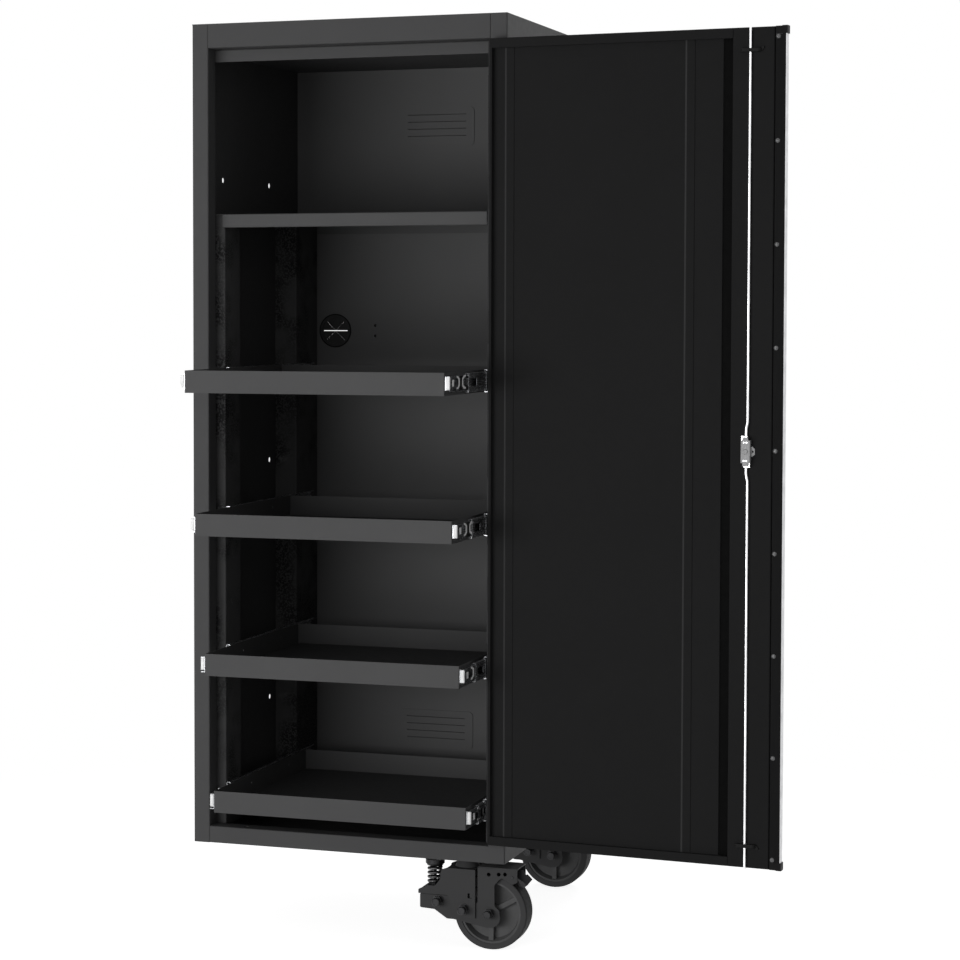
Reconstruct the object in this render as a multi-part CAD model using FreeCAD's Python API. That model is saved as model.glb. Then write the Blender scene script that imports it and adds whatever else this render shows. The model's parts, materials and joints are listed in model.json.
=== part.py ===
"""Tall side locker for a roller tool chest: a bolt-on steel cabinet with a full-height
door, four pull-out trays on telescopic slides and two sprung swivel casters.

Working frame: X to the right, Y into the cabinet, Z up, millimetres, measured from the
front left bottom corner of the cabinet. Every piece is moved to the part's own origin,
the middle of the chest-side bolt pattern, when it is written.
"""
import FreeCAD, Part
import math
import os
from FreeCAD import Vector

# ---------------------------------------------------------------- driving dimensions
# cabinet
width = 610.0
depth = 650.0
height = 1535.0
sheet = 1.5                 # panel thickness
thin_sheet = 1.2            # door and tray thickness
bend = 1.2                  # inside radius of a bend
post_face = 32.0            # width of each front post
sill_height = 31.5
header_height = 45.0
frame_depth = 36.0          # how far the front frame turns inwards
frame_lip = 10.0            # last fold of a post, towards the side sheet
stop_height = 23.0          # door stop that hangs behind the header
rear_wall_inset = 101.0     # front face of the recessed rear wall, from the back
rear_flange = 24.0
base_flange = 25.0
# holes that bolt the locker to the chest
chest_hole_r = 5.25
chest_hole_front = 148.0
chest_hole_pitch_y = 244.0
chest_hole_low = 220.0
chest_hole_mid = 701.0
chest_hole_high = 1252.0
# rear wall details
louvre_length = 123.0
louvre_pitch = 14.3
louvre_slot = 1.6
hood_depth = 5.0            # hood behind each louvre slot, open below
hood_above = 3.0
hood_below = 5.5
louvre_count = 4
louvre_frame_x = 157.0
louvre_frame_z = 77.0
louvre_frame_rise = 1.6
louvre_frame_drop = 3.0      # frame's middle below the slots' middle
upper_louvre_drop = 159.0    # middle of the upper slots, below the top
lower_louvre_z = 149.5
grommet_x = 86.3
grommet_z = 960.0
grommet_bore_r = 31.0
grommet_flange_r = 34.5
grommet_depth = 9.0
cord_hole_x = 173.2
cord_hole_gap = 21.5
cord_hole_r = 3.0
cord_barrel_wall = 1.6      # blind rivet nut behind each cord-clip hole
cord_barrel_length = 9.0
# shelf and uprights
shelf_top = 1183.0
shelf_lip = 25.0
shelf_front = 33.0
shelf_notch = 15.0          # between the shelf's front lip and a post
upright_face = 47.0         # from the cabinet's side to the face that carries the slides
upright_front = 45.0
upright_depth = 76.0
rear_upright_front = 424.5
slot_pitch = 87.5
slot_height = 12.0
slot_width = 4.0
slot_inset_front = 34.0
slot_inset_rear = 15.5
slot_rise_front = 15.0
slot_rise_rear = 4.0
# trays
tray_side = 12.7            # slide thickness between upright and tray
tray_length = 488.0
tray_height = 40.5
tray_top_first = 895.3      # top edge of the highest tray
tray_pitch = 262.5
tray_count = 4
tray_home = 50.0            # front face of a tray that is pushed in
tray_pulled = [230.3, 184.9, 139.7, 96.9]
# slides
slide_length = 460.0
slide_height = 41.0
slide_sheet = 1.5
runner_gap = 0.8            # between outer and middle member
runner_flange = 7.6
runner_drop = 1.75          # ball space above and below the middle member
inner_height = 28.6
inner_flange = 8.6
cage_window = 14.0          # window near the front of each middle member
# door
door_gap_side = 2.7
door_gap_top = 2.5
door_gap_bottom = 6.5
door_width = 537.0
door_depth = 13.5
door_angle = 176.4          # how far the door stands open
rim_side = 4.5
rim_top = 17.0
rim_bottom = 16.0
panel_drop = 9.5            # inner panel below the rim
panel_end = 425.6
stile_start = 443.5
pull_start = 518.0
rib_width = 18.0
rib_rise = 1.2
rib_slope = 3.0             # the ribs' gentle side, towards the hinge
rib_steep = 1.0
rib_first = 26.5
rib_second = 357.5
pull_wall = 1.8
pull_grip = 5.0
pull_screw_inset = 4.5
pull_screw_edge = 16.75     # first screw from the end of the pull
pull_screw_count = 9
cap_height = 12.0
cap_step = 529.0            # where the cap's taller part begins
cap_proud = 1.6
# hinge
knuckle_r = 3.5
pin_r = 1.5
pin_clear = 0.06
pivot_x_inset = 30.1        # hinge pin from the cabinet's right side
pivot_y = -3.9
knuckle_count = 24
knuckle_gap = 0.3
leaf = 1.2
leaf_width = 12.0
# latch
latch_u = 472.8             # from the hinge edge of the door
latch_z = 761.0
latch_half = 20.0
latch_width = 17.0
latch_wall = 0.8
latch_rise = 9.0
lug_reach = 7.5             # lug beside the housing, riveted to the stile
lug_half = 8.0
yoke_gap = 3.0              # from the housing to the rods' offset ends
rod_u = 475.3
rod_r = 2.25
rod_lift = 1.2              # between the stile and a rod
rod_tip_top = 0.5           # upper rod's tip below the door's top edge
rod_tip_bottom = 1.5        # lower rod's tip below the door's bottom edge
keeper_r = 4.0
pinion_teeth = 12
pinion_module = 0.85
rack_back = 2.3             # from the pitch line to the back of a rack
rack_length = 30.0
tooth_share = 0.36          # tooth thickness over tooth pitch
key_plug_r = 7.0
spindle_r = 2.0
lock_body_r = 9.5
guide_length = 36.0
guide_height = 6.0
guide_inset = 39.0
# casters, from their swivel axis
caster_inset = 90.5         # swivel axis from the right side
caster_front_y = 68.0
caster_rear_inset = 44.0    # rear swivel axis from the back
caster_rear_inward = 25.0   # rear swivel axis, farther from the right side than the front one
axle_trail = 50.0
axle_drop = 101.2
wheel_r = 69.0
wheel_width = 44.0
rim_r = 58.0
rim_lip = 4.0
rim_web = 12.0
spoke_count = 3
spoke_width = 9.0
hub_r = 15.0
hub_width = 52.0
axle_r = 6.0
running_clear = 0.06
caster_plate_x = 115.0
caster_plate_y = 84.0
caster_plate = 4.0
race_top_r = 12.0
race_low_r = 23.0
race_gap = 0.4
race_height = 18.0
kingpin_r = 7.0
kingpin_nut_r = 11.0
kingpin_nut = 7.5
fork_plate = 4.0
fork_outer = 68.0           # across the fork's outer faces
fork_front = 24.3           # the fork's edge beside the arm's leg
crown_front = 20.0
crown_back = -30.0
arm_plate = 3.0
arm_gap = 0.4
leg_back = 27.8
leg_front = 60.0
leg_top = -18.0
leg_r = 22.5
bracket_front = 103.0
bracket_rise = 2.0
bracket_drop = 48.5         # lower corner of the brake bracket
arm_bar_drop = 14.0         # lower edge of the arm beside its pivot, below the pivot's middle
pivot_back = 47.5           # from the axle to the arm's pivot
pivot_up = 5.2
tie_back = 98.0             # from the axle to the arm's tie bolt
tie_up = 16.4
draw_back = 113.0           # from the axle to the draw bolt
seat_z = -62.0              # top of the spring's lower seat
seat_end = -85.0
fork_slot_z = -72.5         # lower edge of the fork's seat end, with the arm below it
fork_slot = 1.6
fork_tail = 35.0            # from the draw bolt to the fork's lower bend
fork_notch_x = 10.0         # L-shaped notch for the arm's stop
fork_notch_drop = 2.7
fork_notch_high = 9.0
fork_notch_wide = 4.0
arm_neck = 26.0             # from the pivot to the bend in the arm's top edge
arm_holes = [(49.0, -29.5), (68.0, -28.0), (80.0, -27.0)]
arm_hole_r = 3.6
cap_top = -13.5
cap_r = 17.8
cap_thick = 7.5
cap_taper = 4.0
spring_coil_r = 12.2
spring_wire_r = 2.5
spring_turns = 5.0
draw_bolt_r = 3.0
tie_bolt_r = 5.0
bolt_head = 7.0
nut_hex = 9.0                # the cap nut's hexagon, along the bolt
nut_length = 18.0
nut_end_r = 7.4
brake_forward = 43.0        # from the axle to the brake's pin
brake_z = -32.0
brake_pin_r = 3.0
brake_swing = 10.0          # degrees the pedal goes down before the shoe meets the tread
shoe_gap = 0.9
pedal_width = 36.0
pedal_length = 28.0
pedal_slope = 51.0          # degrees below level
mount_bolt_r = 4.0
mount_bolt_x = 92.0
mount_bolt_y = 48.0

# ---------------------------------------------------------------- worked out from them
hole_rear = chest_hole_front + chest_hole_pitch_y
rear_wall_y = depth - rear_wall_inset
origin = Vector(0, (chest_hole_front + hole_rear) / 2, (chest_hole_low + chest_hole_high) / 2)
opening_left = post_face
opening_right = width - post_face
opening_top = height - header_height
caster_x = width - caster_inset
caster_rear_x = caster_x - caster_rear_inward
caster_rear_y = depth - caster_rear_inset
caster_places = (("front", caster_x, caster_front_y), ("rear", caster_rear_x, caster_rear_y))
tray_left = upright_face + tray_side
tray_right = width - tray_left
door_hinge_x = opening_right - door_gap_side
door_bottom = sill_height + door_gap_bottom
door_top = opening_top - door_gap_top
pivot_x = width - pivot_x_inset
centre_x = width / 2


# ---------------------------------------------------------------- helpers
def box(x0, x1, y0, y1, z0, z1):
    return Part.makeBox(x1 - x0, y1 - y0, z1 - z0, Vector(x0, y0, z0))


def rod_x(r, x0, x1, y, z):
    return Part.makeCylinder(r, x1 - x0, Vector(x0, y, z), Vector(1, 0, 0))


def rod_y(r, y0, y1, x, z):
    return Part.makeCylinder(r, y1 - y0, Vector(x, y0, z), Vector(0, 1, 0))


def rod_z(r, z0, z1, x, y):
    return Part.makeCylinder(r, z1 - z0, Vector(x, y, z0), Vector(0, 0, 1))


def rounded_outline(points, radii):
    """A closed wire in the XY plane through points, each corner rounded by its radius."""
    edges, start = [], None
    count = len(points)
    ends = []
    for i, here in enumerate(points):
        r = radii[i]
        back = (points[i - 1] - here).normalize()
        ahead = (points[(i + 1) % count] - here).normalize()
        half = back.getAngle(ahead) / 2
        if r <= 0 or abs(half - math.pi / 2) < 1e-6:
            ends.append((here, None, here))
            continue
        reach = r / math.tan(half)
        centre = here + (back + ahead).normalize() * (r / math.sin(half))
        middle = centre + (here - centre).normalize() * r
        ends.append((here + back * reach, middle, here + ahead * reach))
    for i, (first, middle, last) in enumerate(ends):
        if middle is not None:
            edges.append(Part.Arc(first, middle, last).toShape())
        following = ends[(i + 1) % count][0]
        if last.distanceToPoint(following) > 1e-6:
            edges.append(Part.makeLine(last, following))
    return Part.Wire(edges)


def prism(points, radii, plane, low, high):
    """Extrude an outline of (a, b) points from low to high along the axis left out."""
    if not isinstance(radii, (list, tuple)):
        radii = [radii] * len(points)
    face = Part.Face(rounded_outline([Vector(a, b, 0) for a, b in points], radii))
    solid = face.extrude(Vector(0, 0, high - low))
    turn = FreeCAD.Matrix(1, 0, 0, 0, 0, 1, 0, 0, 0, 0, 1, low, 0, 0, 0, 1)
    if plane == "xz":
        turn = FreeCAD.Matrix(1, 0, 0, 0, 0, 0, -1, high, 0, 1, 0, 0, 0, 0, 0, 1)
    elif plane == "yz":
        turn = FreeCAD.Matrix(0, 0, 1, low, 1, 0, 0, 0, 0, 1, 0, 0, 0, 0, 0, 1)
    return placed(solid, turn)


def placed(solid, matrix):
    solid.Placement = FreeCAD.Placement(matrix)
    return solid


def folded(path, thick, plane, low, high, radius=bend):
    """A bent sheet: path is its outer line, the sheet lies to the left of the path."""
    line = [Vector(a, b, 0) for a, b in path]
    inner = []
    for i, here in enumerate(line):
        normals = []
        if i > 0:
            step = (line[i] - line[i - 1]).normalize()
            normals.append(Vector(-step.y, step.x, 0))
        if i < len(line) - 1:
            step = (line[i + 1] - line[i]).normalize()
            normals.append(Vector(-step.y, step.x, 0))
        if len(normals) == 1:
            inner.append(here + normals[0] * thick)
        else:
            total = normals[0] + normals[1]
            inner.append(here + total * (2 * thick / total.dot(total)))
    outer_r, inner_r = [0.0], [0.0]
    for i in range(1, len(line) - 1):
        turn = (line[i] - line[i - 1]).cross(line[i + 1] - line[i]).z
        tight, wide = radius, radius + thick
        outer_r.append(wide if turn > 0 else tight)
        inner_r.append(tight if turn > 0 else wide)
    outer_r.append(0.0)
    inner_r.append(0.0)
    points = [(p.x, p.y) for p in line] + [(p.x, p.y) for p in reversed(inner)]
    return prism(points, outer_r + inner_r[::-1], plane, low, high)


def bent_rod(points, r, turn_r):
    """A round bar along straight runs joined by arcs of radius turn_r."""
    edges, here = [], points[0]
    for i in range(1, len(points) - 1):
        back = (points[i - 1] - points[i]).normalize()
        ahead = (points[i + 1] - points[i]).normalize()
        half = back.getAngle(ahead) / 2
        first = points[i] + back * (turn_r / math.tan(half))
        last = points[i] + ahead * (turn_r / math.tan(half))
        centre = points[i] + (back + ahead).normalize() * (turn_r / math.sin(half))
        middle = centre + (points[i] - centre).normalize() * turn_r
        edges += [Part.makeLine(here, first), Part.Arc(first, middle, last).toShape()]
        here = last
    edges.append(Part.makeLine(here, points[-1]))
    section = Part.Wire(Part.makeCircle(r, points[0], points[1] - points[0]))
    return Part.Wire(edges).makePipeShell([section], True, True)


def mirrored(shape, x=centre_x):
    return shape.mirror(Vector(x, 0, 0), Vector(1, 0, 0))


def group(solids):
    return Part.makeCompound(solids)


nodes = {}


def keep(name, shape):
    nodes[name] = shape


# ---------------------------------------------------------------- cabinet shell
def side_panel():
    """Left side sheet with its front post and rear return folded on."""
    inside = sheet
    path = [
        (post_face - sheet - frame_lip, frame_depth - sheet),
        (post_face - sheet, frame_depth - sheet),
        (post_face - sheet, sheet),
        (inside, sheet),
        (inside, depth - sheet),
        (rear_flange, depth - sheet),
    ]
    return folded(path, sheet, "xy", 0, height - sheet)


def chest_holes():
    rows = (chest_hole_low, chest_hole_mid, chest_hole_high)
    return [
        rod_x(chest_hole_r, -1, sheet + 1, y, z)
        for y in (chest_hole_front, hole_rear)
        for z in rows
    ]


def make_shell():
    left = side_panel()
    keep("left_side_panel", left.cut(group(chest_holes())))
    keep("right_side_panel", mirrored(left))
    keep("top_panel", top_panel())
    keep("header_rail", header_rail())
    keep("door_stop", door_stop())
    keep("sill_rail", sill_rail())
    keep("base_pan", base_pan())
    keep("rear_wall", rear_wall())


def top_panel():
    """Lid with its edges turned down inside the side sheets and the back."""
    low, high = height - 20.0, height - sheet
    inner, front, back = width - sheet, frame_depth + 1, depth - sheet - bend
    lid = box(0, width, 0, depth, high, height)
    skirts = [
        box(sheet, 2 * sheet, front, back, low, high),
        box(inner - sheet, inner, front, back, low, high),
        box(sheet, inner, back - sheet, back, low, high),
    ]
    return lid.fuse(skirts).removeSplitter()


def rod_hole(z):
    """Hole in the frame that a lock rod shoots into."""
    y = door_depth + rod_lift + rod_r
    return rod_z(keeper_r, z - 3 * sheet, z + 3 * sheet, door_hinge_x - rod_u, y)


def header_rail():
    """Front face above the door, turned back as the ceiling of the locker."""
    z0, z1 = opening_top, height - sheet
    path = [(0.0, z1), (0.0, z0), (rear_wall_y, z0)]
    rail = folded(path, sheet, "yz", opening_left, opening_right)
    wings = box(sheet, width - sheet, frame_depth + 1, rear_wall_y, z0, z0 + sheet)
    return rail.fuse(wings).removeSplitter().cut(rod_hole(z0))


def door_stop():
    """Strip behind the header that the closed door rests against."""
    low = opening_top - stop_height
    path = [(frame_depth, low), (frame_depth, opening_top), (frame_depth + 14.0, opening_top)]
    return folded(path[::-1], sheet, "yz", opening_left, opening_right)


def sill_rail():
    path = [(frame_depth, 3 * sheet), (frame_depth, sill_height), (0.0, sill_height),
            (0.0, 0.0), (16.0, 0.0)]
    rail = folded(path, sheet, "yz", opening_left, opening_right)
    return rail.cut(rod_hole(sill_height))


def base_pan():
    """Floor of the locker, turned up along its sides and back."""
    thick, inner, back = 2 * sheet, width - sheet, depth - sheet - bend
    front = frame_depth + 1
    pan = box(sheet, inner, front, back, 0, thick)
    walls = [
        box(opening_left, opening_right, 16.5, front, 0, thick),
        box(sheet, 2 * sheet, front, back, thick, base_flange),
        box(inner - sheet, inner, front, back, thick, base_flange),
        box(sheet, inner, back - sheet, back, thick, base_flange),
    ]
    pan = pan.fuse(walls).removeSplitter()
    holes = [rod_z(mount_bolt_r + 0.3, -1, thick + 1, x, y) for x, y in mount_bolts()]
    return pan.cut(group(holes))


def mount_bolts():
    return [
        (x + sx * mount_bolt_x / 2, y + sy * mount_bolt_y / 2)
        for end, x, y in caster_places
        for sx in (-1, 1)
        for sy in (-1, 1)
    ]


def louvre_hood(z):
    """Pressed hood behind one slot, closed above and at its ends, open below."""
    back, half = rear_wall_y + sheet, louvre_length / 2 + sheet
    profile = [(back - 0.2, z - hood_below), (back + hood_depth, z - hood_below),
               (back + hood_depth, z), (back, z + hood_above), (back - 0.2, z + hood_above)]
    hood = prism(profile, [0, 0, 4.0, 0, 0], "yz", centre_x - half, centre_x + half)
    inside = [(back - 1.0, z - hood_below - 1.0),
              (back + hood_depth - thin_sheet, z - hood_below - 1.0),
              (back + hood_depth - thin_sheet, z), (back, z + hood_above - thin_sheet),
              (back - 1.0, z + hood_above - thin_sheet)]
    return hood, prism(inside, [0, 0, 3.0, 0, 0], "yz", centre_x - half + thin_sheet,
                       centre_x + half - thin_sheet)


def louvre_tool(z_mid):
    """Pressed frame with hooded slots: returns the raised pad, the hoods and the cuts."""
    half_x, half_z = louvre_frame_x / 2, louvre_frame_z / 2
    low, high = z_mid - louvre_frame_drop - half_z, z_mid - louvre_frame_drop + half_z
    corners = [(centre_x - half_x, low), (centre_x + half_x, low),
               (centre_x + half_x, high), (centre_x - half_x, high)]
    pad = prism(corners, 9.0, "xz", rear_wall_y - louvre_frame_rise, rear_wall_y)
    first = z_mid - louvre_pitch * (louvre_count - 1) / 2
    slots = [
        box(centre_x - louvre_length / 2, centre_x + louvre_length / 2,
            rear_wall_y - louvre_frame_rise - 1, rear_wall_y + sheet + 1,
            first + i * louvre_pitch - louvre_slot / 2,
            first + i * louvre_pitch + louvre_slot / 2)
        for i in range(louvre_count)
    ]
    hoods = []
    for i in range(louvre_count):
        hood, inside = louvre_hood(first + i * louvre_pitch)
        wall_side = box(centre_x - width, centre_x + width, rear_wall_y - 9,
                        rear_wall_y + sheet, 0, height)
        hoods.append(hood.cut(inside.cut(wall_side)))
    return pad, hoods, slots


def rear_wall():
    low, high = 2 * sheet, height - sheet
    wall = box(2 * sheet, width - 2 * sheet, rear_wall_y, rear_wall_y + sheet, low, high)
    for x0 in (2 * sheet, width - 3 * sheet):
        wall = wall.fuse(box(x0, x0 + sheet, rear_wall_y, rear_wall_y + rear_flange, low, high))
    wall = wall.fuse(box(2 * sheet, width - 2 * sheet, rear_wall_y,
                         rear_wall_y + rear_flange, high - sheet, high))
    cuts = []
    for z_mid in (height - upper_louvre_drop, lower_louvre_z):
        pad, hoods, slots = louvre_tool(z_mid)
        wall = wall.fuse([pad] + hoods)
        cuts += slots
    cuts.append(rod_y(grommet_bore_r, rear_wall_y - 1, rear_wall_y + sheet + 1,
                      grommet_x, grommet_z))
    for side in (-0.5, 0.5):
        z = grommet_z + side * cord_hole_gap
        back = rear_wall_y + sheet
        wall = wall.fuse(rod_y(cord_hole_r + cord_barrel_wall, back,
                               back + cord_barrel_length, cord_hole_x, z))
        cuts.append(rod_y(cord_hole_r, rear_wall_y - 1,
                          back + cord_barrel_length - cord_barrel_wall, cord_hole_x, z))
    return wall.removeSplitter().cut(group(cuts))


def make_grommet():
    """Rubber cable bush with a star-cut membrane."""
    y = rear_wall_y
    flange = rod_y(grommet_flange_r, y - 2.0, y, grommet_x, grommet_z)
    body = rod_y(grommet_bore_r, y, y + sheet, grommet_x, grommet_z)
    back = rod_y(grommet_flange_r - 1.0, y + sheet, y + grommet_depth - 3.0,
                 grommet_x, grommet_z)
    ring = flange.fuse([body, back])
    dish = rod_y(grommet_bore_r - 3.5, y - 3.0, y + 0.6, grommet_x, grommet_z)
    well = rod_y(grommet_bore_r - 3.5, y + 2.0, y + grommet_depth, grommet_x, grommet_z)
    ring = ring.cut(dish).cut(well)
    reach = grommet_bore_r - 5.0
    for step, gap in ((0, 1.4), (1, 0.4), (3, 0.4)):
        slit = box(-reach, reach, y - 3, y + grommet_depth, -gap / 2, gap / 2)
        slit.rotate(Vector(0, 0, 0), Vector(0, 1, 0), 45.0 * step)
        slit.translate(Vector(grommet_x, 0, grommet_z))
        ring = ring.cut(slit)
    keep("cable_grommet", ring)


def make_shelf():
    """Shelf with its front edge between the posts and its body as wide as the locker."""
    top, low = shelf_top, shelf_top - shelf_lip
    front, back = shelf_front, rear_wall_y
    path = [(back, low), (back, top), (front, top), (front, low), (front + 10.0, low)]
    shelf = folded(path, thin_sheet, "yz", opening_left + shelf_notch,
                   opening_right - shelf_notch)
    wings = box(sheet, width - sheet, frame_depth + 1, back, top - thin_sheet, top)
    keep("fixed_shelf", shelf.fuse(wings).removeSplitter())


def upright(front, length_y, inset, rise):
    """Left-hand hat section that carries the slides, with its row of slots."""
    low, high = base_flange, shelf_top - thin_sheet
    face = upright_face
    path = [(sheet, front), (face, front), (face, front + length_y), (sheet, front + length_y)]
    post = folded(path, sheet, "xy", low, high)
    first = slide_mid(0) + 2 * slot_pitch + rise
    heights = [first - k * slot_pitch for k in range(int(first / slot_pitch) + 1)]
    slots = [
        box(face - sheet - 1, face + 1, front + inset - slot_width / 2,
            front + inset + slot_width / 2, z - slot_height / 2, z + slot_height / 2)
        for z in heights
        if low + slot_height < z < high - slot_height and not near_slide(z)
    ]
    return post.cut(group(slots))


def near_slide(z):
    return any(abs(z - slide_mid(i)) < slide_height / 2 + slot_height for i in range(tray_count))


def make_uprights():
    front = upright(upright_front, upright_depth, slot_inset_front, slot_rise_front)
    rear_depth = rear_wall_y - rear_upright_front - thin_sheet - bend
    rear = upright(rear_upright_front, rear_depth, slot_inset_rear, slot_rise_rear)
    keep("slide_uprights_left", group([front, rear]))
    keep("slide_uprights_right", group([mirrored(front), mirrored(rear)]))


# ---------------------------------------------------------------- trays and slides
def tray_top(i):
    return tray_top_first - i * tray_pitch


def slide_mid(i):
    return tray_top(i) - tray_height / 2


def channel(x_web, x_open, half, z_mid, y0, y1, lip=0.0, thick=slide_sheet):
    """C section with its web at x_web, opening towards x_open; lips turn inwards."""
    sign = 1 if x_open > x_web else -1
    outline = [(x_open, -half), (x_web, -half), (x_web, half), (x_open, half)]
    if lip:
        outline = [(x_open, -half + lip)] + outline + [(x_open, half - lip)]
    path = [(x, z_mid + z) for x, z in outline]
    if sign > 0:
        path = path[::-1]
    return folded(path, thick, "xz", y0, y1, radius=0.4)


def outer_member(i):
    y0 = upright_front + 2.0
    return channel(upright_face, upright_face + 8.0, slide_height / 2, slide_mid(i),
                   y0, y0 + slide_length, lip=slide_sheet + runner_drop - 0.35)


def middle_member(i):
    half = slide_height / 2 - slide_sheet - runner_drop
    web = upright_face + slide_sheet + runner_gap
    y0 = upright_front + 3.0 - tray_pulled[i] / 2
    body = channel(web, web + runner_flange, half, slide_mid(i), y0, y0 + slide_length,
                   lip=2.4, thick=1.2)
    window = box(web - 1, web + 3, y0 + cage_window, y0 + 3.5 * cage_window,
                 slide_mid(i) - cage_window / 2, slide_mid(i) + cage_window / 2)
    return body.cut(window)


def inner_member(i):
    y0 = tray_home - tray_pulled[i] + 3.0
    tip = tray_left
    half = inner_height / 2
    body = channel(tip, tip - inner_flange, half, slide_mid(i), y0, y0 + slide_length - 5.0)
    block = box(tip - inner_flange, tip - slide_sheet, y0 + 0.5, y0 + 25.0,
                slide_mid(i) - 10.0, slide_mid(i) + 10.0)
    return body.fuse(block).removeSplitter()


def tray(i):
    top, low = tray_top(i), tray_top(i) - tray_height
    y0 = tray_home - tray_pulled[i]
    outline = [(tray_left, y0), (tray_right, y0), (tray_right, y0 + tray_length),
               (tray_left, y0 + tray_length)]
    pan = prism(outline, 1.6, "xy", low, top)
    t = thin_sheet
    inside = [(tray_left + t, y0 + t), (tray_right - t, y0 + t),
              (tray_right - t, y0 + tray_length - t), (tray_left + t, y0 + tray_length - t)]
    return pan.cut(prism(inside, 0.6, "xy", low + t, top + 1))


def make_trays():
    outers = []
    for i in range(tray_count):
        outers += [outer_member(i), mirrored(outer_member(i))]
        name = "tray_%d" % (i + 1)
        keep(name, tray(i))
        inner = inner_member(i)
        keep(name + "_inner_slides", group([inner, mirrored(inner)]))
        middle = middle_member(i)
        keep(name + "_middle_slides", group([middle, mirrored(middle)]))
    keep("outer_slides", group(outers))


# ---------------------------------------------------------------- door, built closed
def at_door(shape):
    """Swing a piece of the closed door to where the door stands open."""
    shape = shape.copy()
    shape.rotate(Vector(pivot_x, pivot_y, 0), Vector(0, 0, 1), door_angle)
    return shape


def door_box(u0, u1, d0, d1, z0, z1):
    """A box in the closed door: u from the hinge edge, d from the outer face inwards."""
    return box(door_hinge_x - u1, door_hinge_x - u0, d0, d1, z0, z1)


def door_outline(points):
    return [(door_hinge_x - u, d) for u, d in points]


def outer_skin():
    """Outer sheet of the door, folded to a rim along its hinge edge and both ends."""
    t, d = thin_sheet, door_depth
    end = pull_start
    floor = d - panel_drop
    low_rim, high_rim = door_bottom + rim_bottom, door_top - rim_top
    skin = door_box(0, end, 0, t, door_bottom, door_top)
    parts = [
        door_box(0, t, 0, d, door_bottom, door_top),
        door_box(0, rim_side, d - t, d, door_bottom, door_top),
        door_box(rim_side - t, rim_side, floor, d, low_rim, high_rim),
        door_box(0, end, 0, d, door_bottom, door_bottom + t),
        door_box(0, end, 0, d, door_top - t, door_top),
        door_box(0, stile_start, d - t, d, door_bottom, low_rim),
        door_box(0, stile_start, d - t, d, high_rim, door_top),
        door_box(rim_side - t, stile_start, floor, d, low_rim - t, low_rim),
        door_box(rim_side - t, stile_start, floor, d, high_rim, high_rim + t),
    ]
    return skin.fuse(parts).removeSplitter()


def inner_panel():
    top = door_depth - panel_drop
    t = thin_sheet
    path = [
        (rim_side, top), (rib_first, top), (rib_first + rib_slope, top + rib_rise),
        (rib_first + rib_width - rib_steep, top + rib_rise), (rib_first + rib_width, top),
        (rib_second, top), (rib_second + rib_slope, top + rib_rise),
        (rib_second + rib_width - rib_steep, top + rib_rise), (rib_second + rib_width, top),
        (panel_end, top), (panel_end, t),
    ]
    line = door_outline(path)
    low, high = door_bottom + rim_bottom, door_top - rim_top
    return folded(line, t, "xy", low, high, radius=0.5)


def latch_stile():
    t, d = thin_sheet, door_depth
    low, high = door_bottom + t, door_top - t
    path = [(pull_start - t, t), (pull_start - t, d), (stile_start, d), (stile_start, t),
            (stile_start + 14.0, t)]
    points = door_outline([(u, v) for u, v in path])
    stile = folded(points[::-1], t, "xy", low, high)
    return stile.cut(rod_y(lock_body_r + 0.1, -20, d + 5, door_hinge_x - latch_u, latch_z))


def door_pull():
    """Full-height edge pull: a thin extrusion round the free edge with a finger grip."""
    w, d = pull_wall, door_depth
    end = door_width
    path = [(pull_start, d - 1.0), (end, d - 1.0), (end, -pull_grip),
            (pull_start - 3.0, -pull_grip), (pull_start - 3.0, -0.1)]
    points = door_outline(path)
    bar = folded(points, w, "xy", door_bottom + cap_height, door_top - cap_height, radius=0.8)
    web = door_box(pull_start, pull_start + w, -pull_grip + w - 0.4, d - 1.0 - w + 0.4,
                   door_bottom + cap_height, door_top - cap_height)
    holes = [rod_y(2.1, d - 4, d + 1, door_hinge_x - pull_screw_u(), z)
             for z in pull_screw_heights()]
    return bar.fuse(web).removeSplitter().cut(group(holes))


def pull_screw_u():
    return pull_start + pull_screw_inset


def pull_screw_heights():
    first = door_bottom + pull_screw_edge
    pitch = (door_top - pull_screw_edge - first) / (pull_screw_count - 1)
    return [first + i * pitch for i in range(pull_screw_count)]


def pull_screws():
    face = door_depth - 1.0
    screws = []
    for z in pull_screw_heights():
        x = door_hinge_x - pull_screw_u()
        shank = rod_y(2.0, face - 6.0, face, x, z)
        head = Part.makeSphere(5.2, Vector(x, face - 3.4, z))
        head = head.common(box(x - 5, x + 5, face, face + 3, z - 5, z + 5))
        screws.append(shank.fuse(head).cut(box(x - 0.5, x + 0.5, face + 1.0, face + 3,
                                               z - 2.6, z + 2.6)))
    return group(screws)


def pull_caps():
    """End caps of the pull, standing a little proud of it and of the door's ends."""
    caps = []
    inner_face = door_depth - 1.0
    for low, high, sign in ((door_bottom, door_bottom + cap_height, -1),
                            (door_top - cap_height, door_top, 1)):
        steps = []
        for u0, u1, proud in ((pull_start, cap_step, cap_proud / 2),
                              (cap_step, door_width + cap_proud, cap_proud)):
            z0, z1 = (low - proud, high) if sign < 0 else (low, high + proud)
            steps.append(door_box(u0, u1, -pull_grip, inner_face, z0, z1))
        block = steps[0].fuse(steps[1]).removeSplitter()
        outer_x = door_hinge_x - door_width - cap_proud
        caps.append(block.makeFillet(1.5, [e for e in block.Edges
                                           if abs(e.tangentAt(e.FirstParameter).z) > 0.9
                                           and abs(e.CenterOfMass.x - outer_x) < 0.1]))
    return group(caps)


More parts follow.
